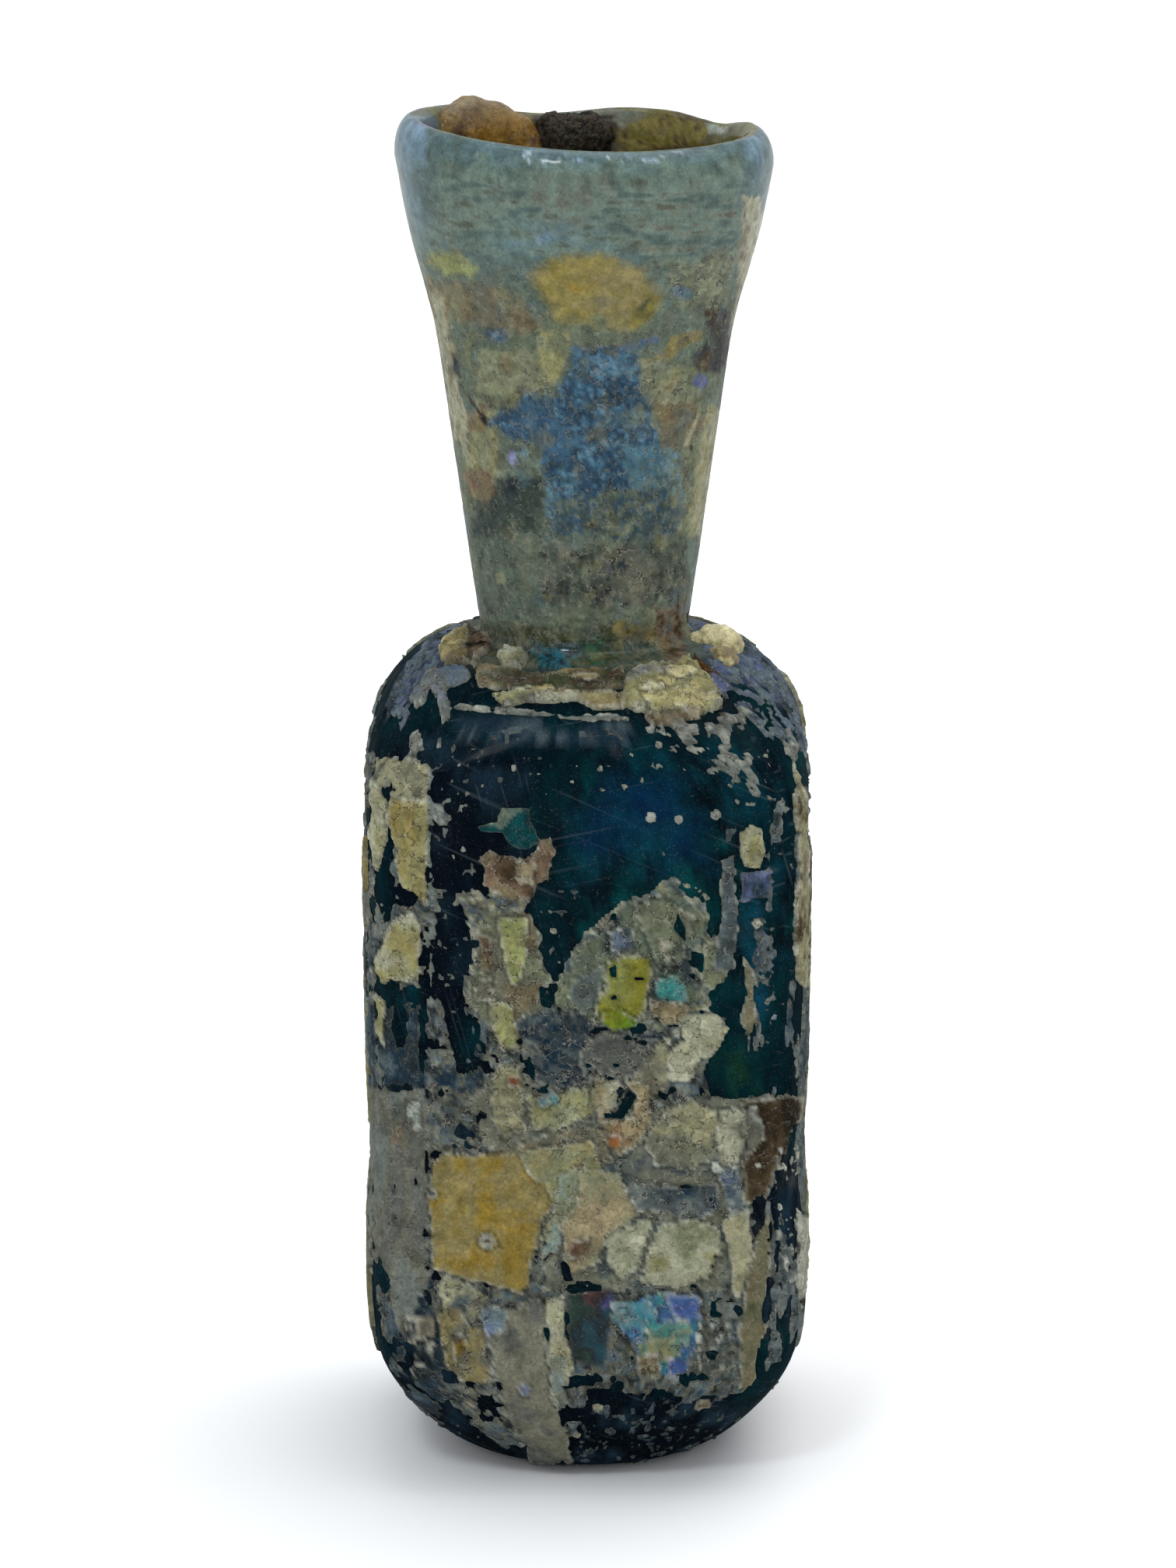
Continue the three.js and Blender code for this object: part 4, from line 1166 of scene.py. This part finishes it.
# Mottling, grit, pale specks, cracks, and thin layers that break off in steps, each with a pale edge that is
# partly painted highlight and a painted shadow line beside it
def buildWearAndEdgeShade():
    group, given, out, place = startGroup(
        "burialWearAndEdgeShade",
        {"Scale": 4000, "Mottle": 0.4, "Specks": 0.3, "Grit": 0.5, "Cracks": 0.5, "VeinsAndEdgeShade": 0.5,
         "Tint": (0.2, 0.2, 0.2, 1)},
        {"Color": "NodeSocketColor", "Height": "NodeSocketFloat"})
    look = wearAndEdgeShadeLook

    def noise(name):
        share, detail, roughness = look[name]
        return noiseNode(group, place, reckon(group, "MULTIPLY", given["Scale"], share), detail, roughness)

    def times(first, second):
        return reckon(group, "MULTIPLY", first, second)

    # A value about its middle, by the amount given, round 1
    def about(value, amount):
        return reckon(group, "MULTIPLY_ADD", reckon(group, "SUBTRACT", value, 0.5), amount, 1)

    # A thin band where the layer is at this level
    def band(level, outside, within):
        away = reckon(group, "ABSOLUTE", reckon(group, "SUBTRACT", layer, level))
        return times(between(group, away, outside, within), much)

    coarse, speck, layer, patchy = [noise(name)["Fac"] for name in ("coarse", "speck", "layer", "patchy")]
    fine, fineColour = noise("fine").values()
    shade = times(about(between(group, coarse, 0.3, 0.7), given["Mottle"]),
                  about(between(group, fine, 0.3, 0.7), given["Grit"]))
    bent = group.nodes.new("ShaderNodeVectorMath")
    bent.operation = "MULTIPLY_ADD"
    for value, socket in zip((fineColour, look["crackBend"], place), bent.inputs):
        plug(group, value, socket)
    cells = group.nodes.new("ShaderNodeTexVoronoi")
    cells.feature = "DISTANCE_TO_EDGE"
    plug(group, bent.outputs[0], cells.inputs["Vector"])
    plug(group, times(given["Scale"], look["crackCells"]), cells.inputs["Scale"])
    crack = times(between(group, cells.outputs["Distance"], 0.06, 0.0), between(group, coarse, 0.42, 0.58))
    crack = times(crack, given["Cracks"])
    much = times(between(group, patchy, 0.4, 0.5), given["VeinsAndEdgeShade"])
    # A pale line at each layer's edge, partly painted highlight, and a painted shadow line just beside it
    paleEdgeHighlight, shadowEdge = band(0.5, 0.014, 0.003), band(0.522, 0.02, 0.004)
    dark = reckon(group, "MAXIMUM", times(crack, look["crackDark"]), times(shadowEdge, look["edgeShadow"]))
    shade = times(shade, about(between(group, layer, 0.56, 0.47), times(given["VeinsAndEdgeShade"], look["plates"])))
    shaded = group.nodes.new("ShaderNodeVectorMath")
    shaded.operation = "SCALE"
    plug(group, given["Tint"], shaded.inputs[0])
    plug(group, times(shade, reckon(group, "SUBTRACT", 1, dark)), shaded.inputs["Scale"])
    pale = times(between(group, speck, 0.64, 0.7), given["Specks"])
    pale = reckon(group, "MAXIMUM", pale, times(paleEdgeHighlight, look["edgePaleHighlight"]))
    plug(group, mixColours(group, pale, shaded.outputs[0], look["dust"]), out["Color"])
    height = reckon(group, "ADD", times(coarse, 0.6), times(fine, given["Grit"]))
    terrace = times(between(group, layer, 0.516, 0.494), times(given["VeinsAndEdgeShade"], look["terrace"]))
    height = reckon(group, "ADD", height, terrace)
    plug(group, reckon(group, "SUBTRACT", height, crack), out["Height"])
    return group


wearAndEdgeShade = buildWearAndEdgeShade()

# Hair-fine scratches: their tilt and threshold, grain per metre, stretch along them, how wide, colour
scratchLook = {
    "runs": ((0.42, 0.75), (-0.2, 0.76), (1.3, 0.77)), "scale": 5200, "stretch": (60, 3, 1), "wide": 0.08,
    "tint": (0.16, 0.2, 0.22, 1),
}


# Long scratches of handling, which catch pale dust
def buildScratches():
    group, given, out, place = startGroup(
        "handlingScratches", {"Tint": (0.0, 0.0, 0.0, 1.0), "Amount": 0.5}, {"Color": "NodeSocketColor"})
    look = scratchLook
    colourSoFar = given["Tint"]
    for tilt, threshold in look["runs"]:
        turned = group.nodes.new("ShaderNodeMapping")
        turned.vector_type = "TEXTURE"
        turned.inputs["Rotation"].default_value = (0, tilt, 0)
        turned.inputs["Scale"].default_value = look["stretch"]
        plug(group, place, turned.inputs["Vector"])
        made = noiseNode(group, turned.outputs["Vector"], look["scale"], 0)["Fac"]
        thin = between(group, made, threshold, threshold + look["wide"])
        share = reckon(group, "MULTIPLY", thin, given["Amount"])
        colourSoFar = mixColours(group, share, colourSoFar, look["tint"])
    plug(group, colourSoFar, out["Color"])
    return group


scratches = buildScratches()

# Each finish: grain per metre, how strong each kind of wear and of painted edge shade is, roughness from dull
# to glossy, relief, coat
finishes = {
    "weatheredGlass": {
        "wearAndEdgeShade": {"Scale": 4200, "Mottle": 0.7, "Specks": 0.06, "Grit": 0.5, "Cracks": 0.1}, "veinsAndEdgeShade": 1.0,
        "dull": 0.6, "glossy": 0.2, "bump": 0.5, "coat": 0.5, "specular": 0.0, "scratches": 0.09,
    },
    "burialCrust": {
        "wearAndEdgeShade": {"Scale": 3600, "Mottle": 0.8, "Specks": 0.14, "Grit": 0.5, "Cracks": 0.2}, "veinsAndEdgeShade": 1.0,
        "dull": 0.85, "glossy": 0.3, "bump": 0.9, "coat": 0.3, "specular": 0.05, "scratches": 0,
    },
    "grownCrust": {
        "wearAndEdgeShade": {"Scale": 5200, "Mottle": 0.6, "Specks": 0.3, "Grit": 0.7, "Cracks": 0.2}, "veinsAndEdgeShade": 0.3,
        "dull": 0.75, "glossy": 0.3, "bump": 0.9, "coat": 0.6, "specular": 0.15, "scratches": 0,
    },
}
bumpDepth = 0.06         # mm
coatRoughness = 0.12


def surface(name, plan):
    material = bpy.data.materials.new(name)
    material.use_nodes = True
    tree = material.node_tree
    shader = tree.nodes["Principled BSDF"].inputs
    wornAndShaded = tree.nodes.new("ShaderNodeGroup")
    wornAndShaded.node_tree = wearAndEdgeShade
    for socket, value in plan["wearAndEdgeShade"].items():
        wornAndShaded.inputs[socket].default_value = value
    plug(tree, attributeNode(tree, "tint")["Color"], wornAndShaded.inputs["Tint"])
    veinsAndEdgeShade = reckon(tree, "MULTIPLY", attributeNode(tree, "crackle")["Fac"], plan["veinsAndEdgeShade"])
    plug(tree, veinsAndEdgeShade, wornAndShaded.inputs["VeinsAndEdgeShade"])
    tint, height = wornAndShaded.outputs["Color"], wornAndShaded.outputs["Height"]
    if plan["scratches"]:
        marked = tree.nodes.new("ShaderNodeGroup")
        marked.node_tree = scratches
        amount = between(tree, attributeNode(tree, "neck")["Fac"], 0, 1, plan["scratches"], 0)
        plug(tree, amount, marked.inputs["Amount"])
        plug(tree, tint, marked.inputs["Tint"])
        tint = marked.outputs["Color"]
    plug(tree, tint, shader["Base Color"])
    gloss = attributeNode(tree, "gloss")["Fac"]
    rough = between(tree, gloss, 0, 1, plan["dull"], plan["glossy"])
    plug(tree, reckon(tree, "MULTIPLY_ADD", height, 0.25, rough), shader["Roughness"])
    raised = tree.nodes.new("ShaderNodeBump")
    raised.inputs["Strength"].default_value = plan["bump"]
    raised.inputs["Distance"].default_value = bumpDepth * mm
    plug(tree, height, raised.inputs["Height"])
    plug(tree, raised.outputs["Normal"], shader["Normal"])
    plug(tree, reckon(tree, "MULTIPLY", gloss, plan["coat"]), shader["Coat Weight"])
    shader["Coat Roughness"].default_value = coatRoughness
    shader["Specular IOR Level"].default_value = plan["specular"]
    return material


materials = {name: surface(name, plan) for name, plan in finishes.items()}
glassBottle.data.materials.append(materials["weatheredGlass"])
bodyCrust.data.materials.append(materials["burialCrust"])
for piece in lumpPieces.values():
    piece.data.materials.append(materials["grownCrust"])
for piece in [glassBottle, bodyCrust, *lumpPieces.values()]:
    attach(piece, "root")
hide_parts("bottle")
print("Finishes on")

# Studio: pale floor, a broad light above and behind to the right, a soft one in front, pale walls all round
studio = {
    "floorSize": 6.0, "floorColour": (0.9, 0.9, 0.9, 1), "world": (0.93, 0.96, 1.0, 1), "worldStrength": 0.9,
    "lights": {              # place in m, size in m, watts, colour
        "topLight": ((0.6, 0.6, 2.4), 2.4, 38, (1, 1, 0.99)),
        "frontLight": ((-0.35, -0.9, 1.1), 0.22, 4, (0.93, 0.97, 1)),
    },
}
tidyUp()
bpy.ops.mesh.primitive_plane_add(size=studio["floorSize"])
floor = bpy.context.object
floor.name = floor.data.name = "floor"
paper = bpy.data.materials.new("palePaper")
paper.use_nodes = True
paper.node_tree.nodes["Principled BSDF"].inputs["Base Color"].default_value = studio["floorColour"]
paper.node_tree.nodes["Principled BSDF"].inputs["Roughness"].default_value = 0.9
floor.data.materials.append(paper)
aim = Vector((0, 0, photo["aim"] * mm))
for name, (place, size, watts, shade) in studio["lights"].items():
    lamp = bpy.data.objects.new(name, bpy.data.lights.new(name, "AREA"))
    lamp.data.size = size
    lamp.data.energy = watts
    lamp.data.color = shade
    lamp.location = place
    lamp.rotation_euler = (aim - lamp.location).to_track_quat("-Z", "Y").to_euler()
    bpy.context.scene.collection.objects.link(lamp)
world = bpy.data.worlds.new("studioWalls")
world.use_nodes = True
world.node_tree.nodes["Background"].inputs["Color"].default_value = studio["world"]
world.node_tree.nodes["Background"].inputs["Strength"].default_value = studio["worldStrength"]
bpy.context.scene.world = world

# Camera where the photograph was taken from
pitch = math.radians(photo["pitch"])
view = bpy.data.cameras.new("photoView")
view.sensor_fit = "VERTICAL"
view.sensor_height = 36
view.lens = photo["focal"] / photo["height"] * view.sensor_height
view.shift_x = (photo["width"] / 2 - photo["middle"][0]) / photo["height"]
view.clip_start = 0.01
camera = bpy.data.objects.new("photoView", view)
camera.location = aim + Vector((0, -math.cos(pitch), math.sin(pitch))) * photo["distance"] * mm
camera.rotation_euler = (math.pi / 2 - pitch, 0, 0)
bpy.context.scene.collection.objects.link(camera)
bpy.context.scene.camera = camera
bpy.context.scene.view_settings.view_transform = "Standard"
print("Studio and camera set")
